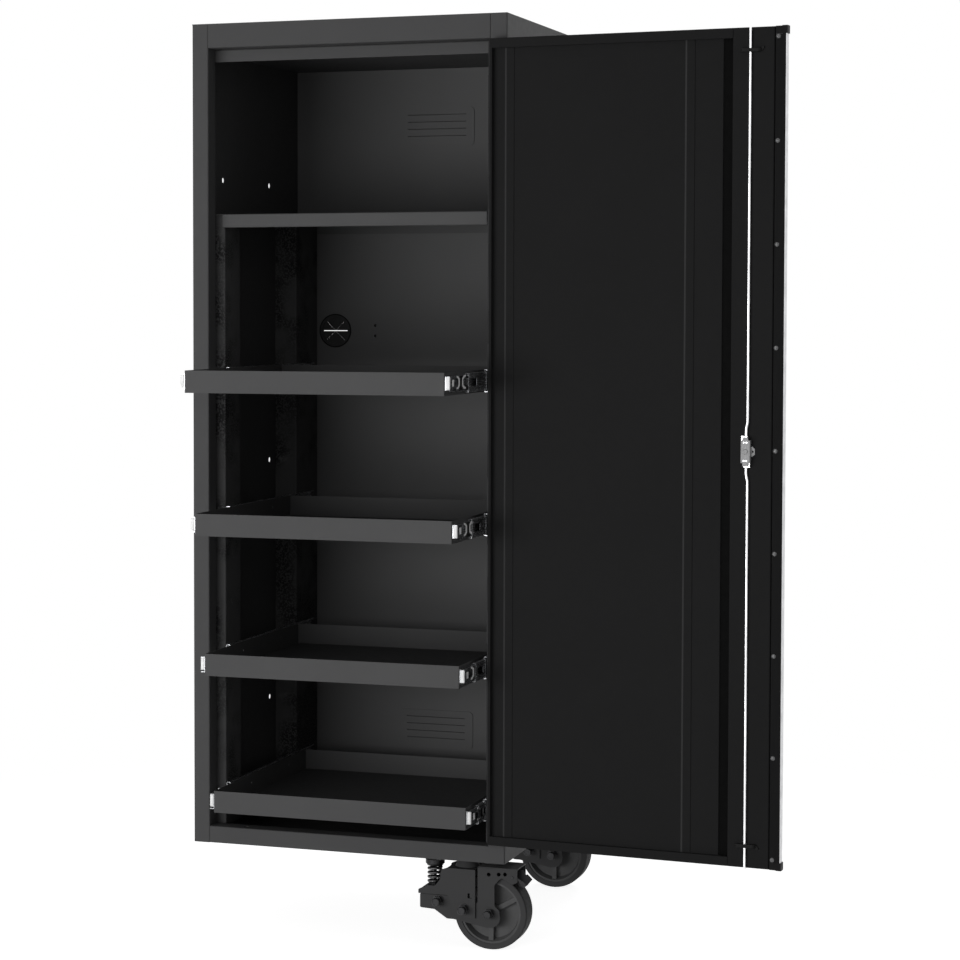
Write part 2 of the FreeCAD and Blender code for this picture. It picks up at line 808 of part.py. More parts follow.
def make_door():
    skin = outer_skin()
    lock_hole = rod_y(lock_body_r + 0.1, -20, thin_sheet + 1, door_hinge_x - latch_u, latch_z)
    keep("door_outer_skin", at_door(skin.cut(lock_hole)))
    keep("door_inner_panel", at_door(inner_panel()))
    keep("door_latch_stile", at_door(latch_stile()))
    keep("door_pull", at_door(door_pull()))
    keep("door_pull_screws", at_door(pull_screws()))
    keep("door_pull_caps", at_door(pull_caps()))


# ---------------------------------------------------------------- continuous hinge
def knuckle_span(k):
    pitch = (door_top - door_bottom - 6.0) / knuckle_count
    z0 = door_bottom + 3.0 + k * pitch
    return z0, z0 + pitch - knuckle_gap


def hinge_leaf(first, x0, x1):
    low, high = knuckle_span(0)[0], knuckle_span(knuckle_count - 1)[1]
    strip = box(x0, x1, 0.0, leaf_width, low, high)
    parts = []
    for k in range(first, knuckle_count, 2):
        z0, z1 = knuckle_span(k)
        parts.append(rod_z(knuckle_r, z0, z1, pivot_x, pivot_y))
        parts.append(box(x0, x1, pivot_y, 0.2, z0, z1))
        parts.append(box(min(x0, pivot_x), pivot_x, pivot_y - knuckle_r,
                         pivot_y - knuckle_r + leaf, z0, z1).cut(
                             box(0, x0, -leaf_width, leaf_width, z0 - 1, z1 + 1)))
        parts.append(box(x0, x1, pivot_y - knuckle_r, pivot_y, z0, z1))
    bore = rod_z(pin_r + pin_clear, low - 1, high + 1, pivot_x, pivot_y)
    return strip.fuse(parts).removeSplitter().cut(bore)


def make_hinge():
    frame_leaf = hinge_leaf(0, opening_right - leaf, opening_right)
    keep("hinge_frame_leaf", frame_leaf)
    door_leaf = hinge_leaf(1, door_hinge_x, door_hinge_x + leaf)
    keep("hinge_door_leaf", at_door(door_leaf))
    low, high = knuckle_span(0)[0], knuckle_span(knuckle_count - 1)[1]
    pin = rod_z(pin_r, low - 0.5, high + 0.5, pivot_x, pivot_y)
    caps = [rod_z(knuckle_r - 0.4, low - 2.0, low - 0.5, pivot_x, pivot_y),
            rod_z(knuckle_r - 0.4, high + 0.5, high + 2.0, pivot_x, pivot_y)]
    keep("hinge_pin", pin.fuse(caps).removeSplitter())


# ---------------------------------------------------------------- latch
def gear(teeth, module, share, low, high, x, z):
    """Pinion with straight-sided teeth, thin enough to run with free play."""
    pitch_r = teeth * module / 2
    tip, root = pitch_r + 0.8 * module, pitch_r - 1.15 * module
    step = 2 * math.pi / teeth
    points = []
    for k in range(teeth):
        mid = k * step
        wide, narrow = step * share * 0.62, step * share * 0.34
        for r, a in ((root, mid - wide), (tip, mid - narrow), (tip, mid + narrow),
                     (root, mid + wide)):
            points.append((x + r * math.sin(a), z + r * math.cos(a)))
    return prism(points, 0, "xz", low, high)


def rack(x_pitch, side, z_mid, length, low, high):
    """Rack bar whose teeth face the pinion; side is +1 when its body lies at larger x."""
    module = pinion_module
    pitch = math.pi * module
    tip, root = x_pitch - side * 0.8 * module, x_pitch + side * 1.15 * module
    back = x_pitch + side * rack_back
    half = int(length / 2 / pitch)
    points = [(back, z_mid - length / 2), (root, z_mid - length / 2)]
    for k in range(-half, half):
        mid = z_mid + (k + 0.5) * pitch
        wide, narrow = pitch * tooth_share * 0.7, pitch * tooth_share * 0.3
        points += [(root, mid - wide), (tip, mid - narrow), (tip, mid + narrow),
                   (root, mid + wide)]
    points += [(root, z_mid + length / 2), (back, z_mid + length / 2)]
    return prism(points, 0, "xz", low, high)


def latch_frame():
    """Where the latch sits in the closed door: its x, and the rods' near face."""
    return door_hinge_x - latch_u, door_depth


def latch_housing():
    """Pressed cover over the racks and pinion, with a lug riveted to the stile."""
    x, face = latch_frame()
    half_w, wall, tall = latch_width / 2, latch_wall, latch_half
    shell = box(x - half_w, x + half_w, face, face + latch_rise, latch_z - tall, latch_z + tall)
    upright_edges = [e for e in shell.Edges if abs(e.tangentAt(e.FirstParameter).z) > 0.9
                     and e.CenterOfMass.y > face + latch_rise / 2]
    shell = shell.makeFillet(1.5, upright_edges)
    room = box(x - half_w + wall, x + half_w - wall, face - 1, face + latch_rise - wall,
               latch_z - tall - 1, latch_z + tall + 1)
    edge = x - half_w + wall / 2
    lug = prism([(edge - lug_reach, latch_z - lug_half * 0.7), (edge, latch_z - lug_half),
                 (edge, latch_z + lug_half), (edge - lug_reach, latch_z + lug_half * 0.7)],
                [1.5, 0, 0, 1.5], "xz", face, face + 2.0)
    body = shell.cut(room).fuse(lug.cut(room)).removeSplitter()
    return body.cut(rod_y(spindle_r + running_clear, face, face + latch_rise + 1, x, latch_z))


def make_latch():
    x, face = latch_frame()
    pitch_r = pinion_teeth * pinion_module / 2
    low, high = face + 1.0, face + latch_rise - 1.6
    teeth = gear(pinion_teeth, pinion_module, tooth_share, low, high, x, latch_z)
    spindle = rod_y(spindle_r, face + 1.0, face + latch_rise + 1.5, x, latch_z)
    screw = rod_y(2 * spindle_r, face + latch_rise + 0.3, face + latch_rise + 2.0, x, latch_z)
    keep("latch_pinion", at_door(teeth.fuse([spindle, screw]).removeSplitter()))
    plug = rod_y(key_plug_r, -3.6, face + 1.0, x, latch_z)
    slot = box(x - 0.8, x + 0.8, -5.0, 4.0, latch_z - 3.6, latch_z + 3.6)
    keep("lock_plug", at_door(plug.cut(slot)))
    body = rod_y(lock_body_r, 0, face, x, latch_z)
    collar = rod_y(lock_body_r + 3.0, -2.6, 0, x, latch_z)
    sleeve = body.fuse(collar).removeSplitter()
    sleeve = sleeve.cut(rod_y(key_plug_r + running_clear, -5, face + 1, x, latch_z))
    keep("lock_body", at_door(sleeve))
    keep("latch_housing", at_door(latch_housing()))
    for sign, name in ((1, "upper_lock_rod"), (-1, "lower_lock_rod")):
        keep(name, at_door(lock_rod(sign, x, face, pitch_r, low, high)))


def lock_rod(sign, x, face, pitch_r, low, high):
    """One rod with its rack: the upper rack runs on the hinge side of the pinion."""
    bar = rack(x + sign * pitch_r, sign, latch_z, rack_length, low, high)
    straight_x = door_hinge_x - rod_u
    y = face + rod_lift + rod_r
    end = door_top - rod_tip_top if sign > 0 else door_bottom - rod_tip_bottom
    start = latch_z + sign * (latch_half + yoke_gap)
    joggle = start + sign * 16.0
    far_z = joggle + sign * 12.0
    inside, outside = x + sign * (pitch_r + 1.2), x + sign * (pitch_r + rack_back)
    tongue = box(min(inside, outside), max(inside, outside), low, high,
                 *sorted((latch_z + sign * (rack_length / 2 - 0.1), start + sign)))
    clasp = rod_r + 0.6
    yoke = box(min(outside, x - clasp), max(outside, x + clasp), low, high,
               *sorted((start, start + sign * 4.0)))
    route = [Vector(x, y, start + sign), Vector(x, y, joggle), Vector(straight_x, y, far_z),
             Vector(straight_x, y, end)]
    return bar.fuse([tongue, yoke, bent_rod(route, rod_r, 25.0)]).removeSplitter()


def make_guides():
    """Hook brackets that keep the rods against the stile."""
    face = door_depth
    x = door_hinge_x - rod_u
    guides = []
    for z in (door_top - guide_inset, door_bottom + guide_inset):
        low, high = z - guide_height / 2, z + guide_height / 2
        reach = rod_lift + 2 * rod_r + 0.3
        block = box(x - guide_length / 2 - 1, x + guide_length / 2 - 1,
                    face, face + reach + 2.0, low, high)
        tunnel = box(x - rod_r - 0.4, x + rod_r + 0.4, face - 1, face + reach, low - 1, high + 1)
        corner = [e for e in block.Edges
                  if abs(e.tangentAt(e.FirstParameter).z) > 0.9
                  and e.CenterOfMass.y > face + 2]
        block = block.makeFillet(min(5.0, reach), corner)
        guides.append(block.cut(tunnel))
    keep("rod_guides", at_door(group(guides)))


# ---------------------------------------------------------------- casters
def around(shape, x, y):
    """Move a caster piece, built about a swivel axis at x = 0, y = 0, to its place."""
    shape = shape.copy()
    shape.translate(Vector(x, y, 0))
    return shape


axle_x, axle_z = axle_trail, -axle_drop
pivot_arm_x, pivot_arm_z = axle_trail - pivot_back, -axle_drop + pivot_up
tie_x, tie_z = axle_trail - tie_back, -axle_drop + tie_up
draw_x = axle_trail - draw_back
brake_x = axle_trail + brake_forward
race_low = -caster_plate - race_height
crown_low = race_low - fork_plate
fork_half = fork_outer / 2
arm_half = fork_half - fork_plate - arm_gap


def caster_plates():
    plates, pins = [], []
    holes = [(sx * mount_bolt_x / 2, sy * mount_bolt_y / 2) for sx in (-1, 1) for sy in (-1, 1)]
    plate = prism([(-caster_plate_x / 2, -caster_plate_y / 2),
                   (caster_plate_x / 2, -caster_plate_y / 2),
                   (caster_plate_x / 2, caster_plate_y / 2),
                   (-caster_plate_x / 2, caster_plate_y / 2)], 8.0, "xy", -caster_plate, 0)
    plate = plate.cut(group([rod_z(mount_bolt_r + 0.3, -9, 1, x, y) for x, y in holes]))
    race = Part.makeCone(race_low_r, race_top_r, race_height - race_gap,
                         Vector(0, 0, race_low + race_gap), Vector(0, 0, 1))
    plate = plate.fuse(race).removeSplitter()
    seat = -caster_plate / 2
    plate = plate.cut(rod_z(kingpin_r, crown_low, seat, 0, 0))
    pin = rod_z(kingpin_r, crown_low - 1.0, seat, 0, 0)
    nut_top = crown_low - 0.5
    nut = prism(hexagon(0, 0, kingpin_nut_r), 0, "xy", nut_top - kingpin_nut, nut_top)
    pin = pin.fuse(nut).removeSplitter()
    for end, x, y in caster_places:
        plates.append(around(plate, x, y))
        pins.append(around(pin, x, y))
    keep("caster_top_plates", group(plates))
    keep("caster_kingpins", group(pins))


def hexagon(a, b, r):
    return [(a + r * math.cos(k * math.pi / 3), b + r * math.sin(k * math.pi / 3))
            for k in range(6)]


def caster_mount_bolts():
    bolts = []
    for x, y in mount_bolts():
        shank = rod_z(mount_bolt_r, -caster_plate, 2 * sheet + 1.0, x, y)
        head = prism(hexagon(x, y, 7.4), 0, "xy", -caster_plate - 5.0, -caster_plate)
        nut = prism(hexagon(x, y, 7.4), 0, "xy", 2 * sheet, 2 * sheet + 6.5)
        bolts.append(shank.fuse([head, nut]).removeSplitter())
    keep("caster_mount_bolts", group(bolts))


def fork():
    """Swivelling yoke: crown, two side plates and the spring seat between them."""
    outline = [
        (seat_end, fork_slot_z), (seat_end, seat_z - 3.0),
        (draw_x - 4.0, seat_z + 5.0), (draw_x + 10.0, seat_z + 5.0),
        (draw_x + 20.0, seat_z + 18.0), (crown_back - 11.0, race_low - 4.0),
        (crown_back, race_low), (fork_front, race_low),
        (fork_front, pivot_arm_z - 16.0), (pivot_arm_x - 16.0, pivot_arm_z - 16.0),
        (draw_x + fork_tail, fork_slot_z),
    ]
    radii = [1.0, 2.0, 4.0, 6.0, 12.0, 4.0, 3.0, 1.0, 2.0, 8.0, 3.0]
    near = prism(outline, radii, "xz", -fork_half, -fork_half + fork_plate)
    far = prism(outline, radii, "xz", fork_half - fork_plate, fork_half)
    inner = fork_half - fork_plate
    crown = box(crown_back, crown_front, -inner, inner, crown_low, race_low)
    seat = box(draw_x - 16.0, draw_x + 15.0, -inner, inner, seat_z - 4.0, seat_z)
    seat = seat.cut(box(draw_x - 11.0, draw_x + 5.0, -4.4, 4.4, seat_z - 9, seat_z + 9))
    body = near.fuse([far, crown, seat]).removeSplitter()
    notch_low = fork_slot_z - fork_notch_drop
    cuts = [rod_z(kingpin_r + running_clear, crown_low - 1, 0, 0, 0),
            rod_y(axle_r, -fork_outer, fork_outer, pivot_arm_x, pivot_arm_z),
            box(fork_notch_x, fork_notch_x + fork_notch_wide, -fork_outer, fork_outer,
                notch_low, notch_low + fork_notch_high),
            box(fork_notch_x, fork_notch_x + 2 * fork_notch_wide, -fork_outer, fork_outer,
                notch_low, notch_low + 1.0)]
    return body.cut(group(cuts))


def arm():
    """Swing arm: two plates that carry the wheel, the cross bar and the brake bracket."""
    low_x = seat_end + 2.0
    bar_top = fork_slot_z - fork_slot
    outline = [
        (low_x, bar_top), (low_x, tie_z - 15.0), (tie_x - 7.0, tie_z - 16.5),
        (tie_x + 17.0, pivot_arm_z - 7.0 - arm_bar_drop),
        (pivot_arm_x - 21.0, pivot_arm_z - 7.0 - arm_bar_drop),
        (axle_x - 4.0, axle_z - leg_r - 4.5), (axle_x + leg_r + 0.5, axle_z - leg_r - 1.5),
        (axle_x + leg_r - 3.5, axle_z + 7.0), (leg_front, axle_z + 13.0),
        (leg_front, -bracket_drop), (leg_front + 9.0, -bracket_drop + 11.0),
        (leg_front + 14.0, -bracket_drop + 14.0), (bracket_front - 9.0, -bracket_drop + 3.0),
        (bracket_front, -bracket_drop + 8.0), (bracket_front, leg_top + bracket_rise),
        (leg_front, leg_top + bracket_rise), (leg_front - 1.0, leg_top),
        (leg_back, leg_top), (leg_back, pivot_arm_z + 12.0),
        (pivot_arm_x, pivot_arm_z + 15.0), (pivot_arm_x - arm_neck, bar_top),
    ]
    radii = [1, 3, 6, 8, 8, 12, 19, 6, 8, 6, 3, 3, 4, 3, 2, 0.4, 0.4, 2, 3, 10, 8]
    inner = arm_half - arm_plate
    plates = [prism(outline, radii, "xz", low, low + arm_plate) for low in (-arm_half, inner)]
    bar = box(draw_x - 12.0, draw_x + 12.0, -inner, inner, bar_top - 9.0, bar_top - 3.0)
    bar = bar.cut(rod_z(draw_bolt_r, bar_top - 20.0, 0, draw_x, 0))
    bridge = box(leg_front + 6.0, bracket_front, -inner, inner, leg_top - 0.5,
                 leg_top + bracket_rise)
    body = plates[0].fuse([plates[1], bar, bridge]).removeSplitter()
    cuts = [rod_y(axle_r, -fork_outer, fork_outer, axle_x, axle_z),
            rod_y(axle_r + running_clear, -fork_outer, fork_outer, pivot_arm_x, pivot_arm_z),
            rod_y(tie_bolt_r, -fork_outer, fork_outer, tie_x, tie_z),
            rod_y(brake_pin_r, -fork_outer, fork_outer, brake_x, brake_z)]
    for x, z in arm_holes:
        cuts.append(rod_y(arm_hole_r, -fork_outer, fork_outer, x, z))
    return body.cut(group(cuts))


def draw_bolt():
    """Bolt through the spring: the arm pulls it down and squeezes the spring."""
    bar_low = fork_slot_z - fork_slot - 9.0
    shank = rod_z(draw_bolt_r, bar_low - 8.0, cap_top - 2.0, draw_x, 0)
    cap = rod_z(cap_r, cap_top - cap_thick, cap_top, draw_x, 0)
    skirt = Part.makeCone(spring_coil_r + spring_wire_r, cap_r - 1.0, cap_taper,
                          Vector(draw_x, 0, cap_top - cap_thick - cap_taper), Vector(0, 0, 1))
    nut = prism(hexagon(draw_x, 0, 6.4), 0, "xy", bar_low - 5.0, bar_low)
    return shank.fuse([cap, skirt, nut]).removeSplitter()


def bolt_with_nut(x, z, half, r, hex_r):
    """Bolt along y with a hexagon head at the far side and a cap nut at the near side."""
    def hexagon_piece(low, high):
        piece = prism(hexagon(x, z, hex_r), 0, "xz", low, high)
        return piece.common(rod_y(hex_r * 0.955, low, high, x, z))

    end = -half - nut_length
    barrel = rod_y(nut_end_r, end, -half, x, z)
    barrel = barrel.makeChamfer(0.8, [e for e in barrel.Edges if abs(e.CenterOfMass.y - end) < 0.01
                                      and len(e.Vertexes) == 1])
    barrel = barrel.cut(rod_y(nut_end_r - 2.2, end - 1, end + 0.8, x, z))
    parts = [barrel, hexagon_piece(-half - nut_hex, -half), hexagon_piece(half, half + bolt_head)]
    for low, high in ((-half - 1.2, -half), (half, half + 1.2)):
        parts.append(rod_y(hex_r * 1.08, low, high, x, z))
    return rod_y(r, -half, half, x, z).fuse(parts).removeSplitter()


def pivot_studs():
    """Two short shoulder screws, one each side of the wheel, that the arm swings on."""
    full = bolt_with_nut(pivot_arm_x, pivot_arm_z, fork_half, axle_r, 10.0)
    gap = arm_half - arm_plate + 0.1
    return full.cut(rod_y(2 * axle_r, -gap, gap, pivot_arm_x, pivot_arm_z))


def spring():
    low, high = seat_z, cap_top - cap_thick - cap_taper
    coil = Part.makeHelix((high - low - 2 * spring_wire_r) / spring_turns,
                          high - low - 2 * spring_wire_r, spring_coil_r)
    start = Vector(spring_coil_r, 0, 0)
    profile = Part.Wire(Part.makeCircle(spring_wire_r, start, Vector(0, 1, 0)))
    body = Part.Wire(coil.Edges).makePipeShell([profile], True, True)
    body.translate(Vector(draw_x, 0, low + spring_wire_r + 0.05))
    return body


def wheel_rim():
    """Cast centre: rim, web, spokes and hub."""
    half = wheel_width / 2
    outer = rod_y(rim_r, -half + 2, half - 2, 0, 0)
    wide, narrow, deep = rim_r - rim_lip, rim_r - 2 * rim_lip, half - 2 - rim_web / 2
    well = Part.makeCone(wide, narrow, deep, Vector(0, -half + 2, 0), Vector(0, 1, 0))
    well = well.fuse(Part.makeCone(wide, narrow, deep, Vector(0, half - 2, 0),
                                   Vector(0, -1, 0)))
    body = outer.cut(well)
    hub = rod_y(hub_r, -hub_width / 2, hub_width / 2, 0, 0)
    spokes = []
    for k in range(spoke_count):
        blade = box(-spoke_width / 2, spoke_width / 2, -half + 6, half - 6,
                    hub_r - 2, rim_r - 3.0)
        blade.rotate(Vector(0, 0, 0), Vector(0, 1, 0), 180.0 + k * 360.0 / spoke_count)
        spokes.append(blade)
    body = body.fuse([hub] + spokes).removeSplitter()
    body = body.cut(rod_y(axle_r + running_clear, -hub_width, hub_width, 0, 0))
    body.translate(Vector(axle_x, 0, axle_z))
    return body


def tyre():
    half = wheel_width / 2
    section = [(rim_r, -half), (wheel_r - 0.5, -half), (wheel_r, -half + 6.0),
               (wheel_r, half - 6.0), (wheel_r - 0.5, half), (rim_r, half)]
    radii = [0, 2.5, 3.0, 3.0, 2.5, 0]
    face = Part.Face(rounded_outline([Vector(a, b, 0) for a, b in section], radii))
    solid = face.revolve(Vector(0, 0, 0), Vector(0, 1, 0), 360)
    solid.translate(Vector(axle_x, 0, axle_z))
    return solid


def brake():
    """Foot lever with its shoe, on a pin between the arm's cheeks."""
    inner = arm_half - arm_plate - 0.5
    tube = rod_y(5.0, -inner, inner, brake_x, brake_z)
    half, root, waist, pad = pedal_width / 2, 7.0, 10.0, 13.0
    plate = prism([(0, -half), (root, -half), (waist, -half + 5.0), (pad, -half),
                   (pedal_length, -half), (pedal_length, half), (pad, half),
                   (waist, half - 5.0), (root, half), (0, half)],
                  [0, 2, 3, 2, 4, 4, 2, 3, 2, 0], "xy", -1.5, 1.5)
    plate.rotate(Vector(0, 0, 0), Vector(0, 1, 0), pedal_slope)
    reach = math.hypot(brake_x - axle_x, brake_z - axle_z) - wheel_r - shoe_gap
    to_axle = math.degrees(math.atan2(axle_x - brake_x, axle_z - brake_z))
    shoe = box(-2.5, 2.5, -inner + 8, inner - 8, 0, reach)
    shoe.rotate(Vector(0, 0, 0), Vector(0, 1, 0), to_axle - brake_swing)
    for piece in (plate, shoe):
        piece.translate(Vector(brake_x, 0, brake_z))
    body = tube.fuse([plate, shoe]).removeSplitter()
    return body.cut(rod_y(brake_pin_r + running_clear, -fork_outer, fork_outer,
                          brake_x, brake_z))


def brake_pin():
    half = arm_half
    return rod_y(brake_pin_r, -half - 1.5, half + 1.5, brake_x, brake_z)


def make_casters():
    caster_plates()
    caster_mount_bolts()
    yoke, swing, lever = fork(), arm(), brake()
    axle = bolt_with_nut(axle_x, axle_z, arm_half, axle_r, 10.0)
    tie = bolt_with_nut(tie_x, tie_z, arm_half, tie_bolt_r, 10.0)
    for name, x, y in caster_places:
        keep(name + "_caster_fork", around(yoke, x, y))
        keep(name + "_caster_pivot_studs", around(pivot_studs(), x, y))
        keep(name + "_caster_arm", around(swing, x, y))
        keep(name + "_caster_arm_bolts", around(
            group([axle, tie, draw_bolt(), brake_pin()]), x, y))
        keep(name + "_caster_spring", around(spring(), x, y))
        keep(name + "_wheel_rim", around(wheel_rim(), x, y))
        keep(name + "_wheel_tyre", around(tyre(), x, y))
        keep(name + "_brake_lever", around(lever, x, y))


# ---------------------------------------------------------------- write the parts
make_shell()
make_grommet()
make_shelf()
make_uprights()
make_trays()
make_door()
make_hinge()
make_latch()
make_guides()
make_casters()

os.makedirs("parts", exist_ok=True)
for node, shape in nodes.items():
    shape = shape.copy()
    shape.translate(origin * -1)
    solids = shape.Solids
    print("%-28s solids %2d valid %s volume %.0f" % (
        node, len(solids), shape.isValid(), sum(s.Volume for s in solids)))
    shape.exportStep("parts/%s.step" % node)
print("nodes", len(nodes))
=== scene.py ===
# %% [markdown]
# # A side locker for a roller tool chest
# The locker is a tall steel cabinet that bolts to the side of a tool chest. Its sheet-metal
# shell, door, trays, slides, latch and casters arrive as finished solids, so this lesson is
# about what makes them look like the real thing: powder coat, zinc, aluminium and rubber,
# and the small pieces that a maker adds last, such as screws, end blocks and ball cages.
#
# The first cell loads the solids. Everything is in metres, with Z up, and the origin is the
# middle of the six bolt holes in the side that faces the chest.

import json
import math

import bmesh
import bpy
from mathutils import Matrix, Vector


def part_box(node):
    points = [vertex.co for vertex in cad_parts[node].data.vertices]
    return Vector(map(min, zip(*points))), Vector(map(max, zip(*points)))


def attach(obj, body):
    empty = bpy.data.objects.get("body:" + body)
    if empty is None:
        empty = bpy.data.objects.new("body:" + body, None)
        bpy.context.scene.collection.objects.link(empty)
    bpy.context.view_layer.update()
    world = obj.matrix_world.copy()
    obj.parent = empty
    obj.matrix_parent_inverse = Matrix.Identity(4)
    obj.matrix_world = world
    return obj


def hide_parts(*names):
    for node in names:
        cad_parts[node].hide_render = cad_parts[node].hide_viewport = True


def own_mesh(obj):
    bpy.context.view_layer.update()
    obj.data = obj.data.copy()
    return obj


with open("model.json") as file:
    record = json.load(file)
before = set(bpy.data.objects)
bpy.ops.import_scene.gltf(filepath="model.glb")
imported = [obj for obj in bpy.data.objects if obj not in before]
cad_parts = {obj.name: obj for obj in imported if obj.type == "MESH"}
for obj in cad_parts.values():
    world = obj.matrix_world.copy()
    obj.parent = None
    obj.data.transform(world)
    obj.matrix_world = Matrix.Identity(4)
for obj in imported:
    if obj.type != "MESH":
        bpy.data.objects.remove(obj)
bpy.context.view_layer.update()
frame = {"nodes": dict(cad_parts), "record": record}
nodes = frame["nodes"]
scene = bpy.context.scene
print("solids loaded:", len(nodes))

# %% [markdown]
# ## The camera
# A long lens keeps the uprights of a tall cabinet almost parallel. The camera stands a
# little to the right of the locker, at about the height of its middle, and turns left
# towards it. Tilting it down would make the sides converge, so most of the framing is done
# with lens shift, as an architecture photographer does it.

# %% Camera
CAMERA_PLACE = (1.9155, -4.7950, 0.2797)
CAMERA_TURN = math.radians(19.792)
CAMERA_TILT = math.radians(2.768)
LENS_MM = 98.134
SHIFT = (0.1489, -0.0520)

lens = bpy.data.cameras.new("studio_camera")
lens.sensor_width = 36.0
lens.lens = LENS_MM
lens.shift_x, lens.shift_y = SHIFT
camera = bpy.data.objects.new("studio_camera", lens)
camera.location = CAMERA_PLACE
camera.rotation_euler = (math.pi / 2 - CAMERA_TILT, 0.0, CAMERA_TURN)
scene.collection.objects.link(camera)
scene.camera = camera
print("camera at", tuple(camera.location))

# %% [markdown]
# ## Studio light
# Dark paint shows its form through broad soft reflections. A wide, low lamp stands at the
# front left, so it reaches through the open front and brightens the right half of the rear
# wall, while the left wall and the trays' floors stay in shade. A weaker one beside the
# camera softens the shadows on the door, and small ones light the side and the back. The
# world gives the rest: the camera and mirror-like metal see it as white.


# %% Lamps and world
WHITE = (1.0, 1.0, 1.0, 1.0)
WORLD_LIGHT = 0.22


def lamp(name, place, target, size, watts):
    """An area lamp; size is its width and height in metres."""
    light = bpy.data.lights.new(name, "AREA")
    light.shape = "RECTANGLE"
    light.size, light.size_y = size
    light.energy = watts
    thing = bpy.data.objects.new(name, light)
    thing.location = place
    aim = Vector(target) - Vector(place)
    thing.rotation_euler = aim.to_track_quat("-Z", "Y").to_euler()
    scene.collection.objects.link(thing)


lamp("key_lamp", (-1.5, -4.4, -0.2), (0.3, 0.0, -0.05), (3.4, 1.4), 122.0)
lamp("front_lamp", (1.6, -5.2, 0.6), (0.5, 0.0, 0.0), (2.6, 2.6), 20.0)
lamp("side_lamp", (4.2, -0.6, 1.2), (0.6, 0.0, 0.0), (2.5, 2.5), 9.0)
lamp("back_lamp", (0.2, 4.5, 1.8), (0.3, 0.0, 0.0), (2.5, 2.5), 45.0)


def seen_directly(tree):
    """A value that is 1 for rays from the camera, a gloss or glass, and 0 for lighting."""
    path = tree.nodes.new("ShaderNodeLightPath")
    found = path.outputs["Is Camera Ray"]
    for name in ("Is Glossy Ray", "Is Transmission Ray"):
        most = tree.nodes.new("ShaderNodeMath")
        most.operation = "MAXIMUM"
        tree.links.new(found, most.inputs[0])
        tree.links.new(path.outputs[name], most.inputs[1])
        found = most.outputs[0]
    return found


world = bpy.data.worlds.new("studio_world")
scene.world = world
world.use_nodes = True
tree = world.node_tree
tree.nodes.clear()
output = tree.nodes.new("ShaderNodeOutputWorld")
mix = tree.nodes.new("ShaderNodeMixShader")
soft = tree.nodes.new("ShaderNodeBackground")
soft.inputs["Color"].default_value = WHITE
soft.inputs["Strength"].default_value = WORLD_LIGHT
white = tree.nodes.new("ShaderNodeBackground")
white.inputs["Color"].default_value = WHITE
tree.links.new(seen_directly(tree), mix.inputs[0])
tree.links.new(soft.outputs[0], mix.inputs[1])
tree.links.new(white.outputs[0], mix.inputs[2])
tree.links.new(mix.outputs[0], output.inputs["Surface"])

# %% [markdown]
# ## The floor
# The floor is a large disc under the wheels. Near the locker it is a pale surface that
# keeps a soft shadow, and further out it turns into plain white, so no horizon shows.

# %% Floor
FLOOR_RADIUS = 40.0
FLOOR_CENTRE = (0.55, 0.0)
floor_z = min(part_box(n)[0].z for n in ("front_wheel_tyre", "rear_wheel_tyre"))

shape = bmesh.new()
bmesh.ops.create_circle(shape, cap_ends=True, segments=96, radius=FLOOR_RADIUS)
bmesh.ops.translate(shape, verts=shape.verts, vec=(0.0, 0.0, floor_z))
mesh = bpy.data.meshes.new("studio_floor")
shape.to_mesh(mesh)
shape.free()
floor = bpy.data.objects.new("studio_floor", mesh)
scene.collection.objects.link(floor)

pale = bpy.data.materials.new("pale_floor")
pale.use_nodes = True
tree = pale.node_tree
tree.nodes.clear()
output = tree.nodes.new("ShaderNodeOutputMaterial")
matt = tree.nodes.new("ShaderNodeBsdfDiffuse")
matt.inputs["Color"].default_value = (0.72, 0.72, 0.72, 1.0)
glow = tree.nodes.new("ShaderNodeEmission")
glow.inputs["Strength"].default_value = 0.86
lit = tree.nodes.new("ShaderNodeAddShader")
bright = tree.nodes.new("ShaderNodeEmission")
bright.inputs["Strength"].default_value = 1.0
place = tree.nodes.new("ShaderNodeTexCoord")
centre = tree.nodes.new("ShaderNodeMapping")
centre.vector_type = "TEXTURE"
centre.inputs["Location"].default_value = (FLOOR_CENTRE[0], FLOOR_CENTRE[1], floor_z)
centre.inputs["Scale"].default_value = (2.0, 2.0, 2.0)
fade = tree.nodes.new("ShaderNodeTexGradient")
fade.gradient_type = "SPHERICAL"
ramp = tree.nodes.new("ShaderNodeValToRGB")
ramp.color_ramp.elements[0].position = 0.05
ramp.color_ramp.elements[1].position = 0.6
near = tree.nodes.new("ShaderNodeMixShader")
seen = tree.nodes.new("ShaderNodeMixShader")
tree.links.new(place.outputs["Object"], centre.inputs["Vector"])
tree.links.new(centre.outputs["Vector"], fade.inputs["Vector"])
tree.links.new(fade.outputs["Fac"], ramp.inputs["Fac"])
tree.links.new(matt.outputs[0], lit.inputs[0])
tree.links.new(glow.outputs[0], lit.inputs[1])
tree.links.new(ramp.outputs["Color"], near.inputs[0])
tree.links.new(bright.outputs[0], near.inputs[1])
tree.links.new(lit.outputs[0], near.inputs[2])
tree.links.new(seen_directly(tree), seen.inputs[0])
tree.links.new(matt.outputs[0], seen.inputs[1])
tree.links.new(near.outputs[0], seen.inputs[2])
tree.links.new(seen.outputs[0], output.inputs["Surface"])
floor.data.materials.append(pale)

# %% [markdown]
# ## Finishes
# Every finish is a node graph on Object coordinates, in metres, so its grain has a real
# size. A helper adds a node and sets its sockets by name, which keeps each recipe short.


# %% Node helpers
EVEN = (1.0, 1.0, 1.0)


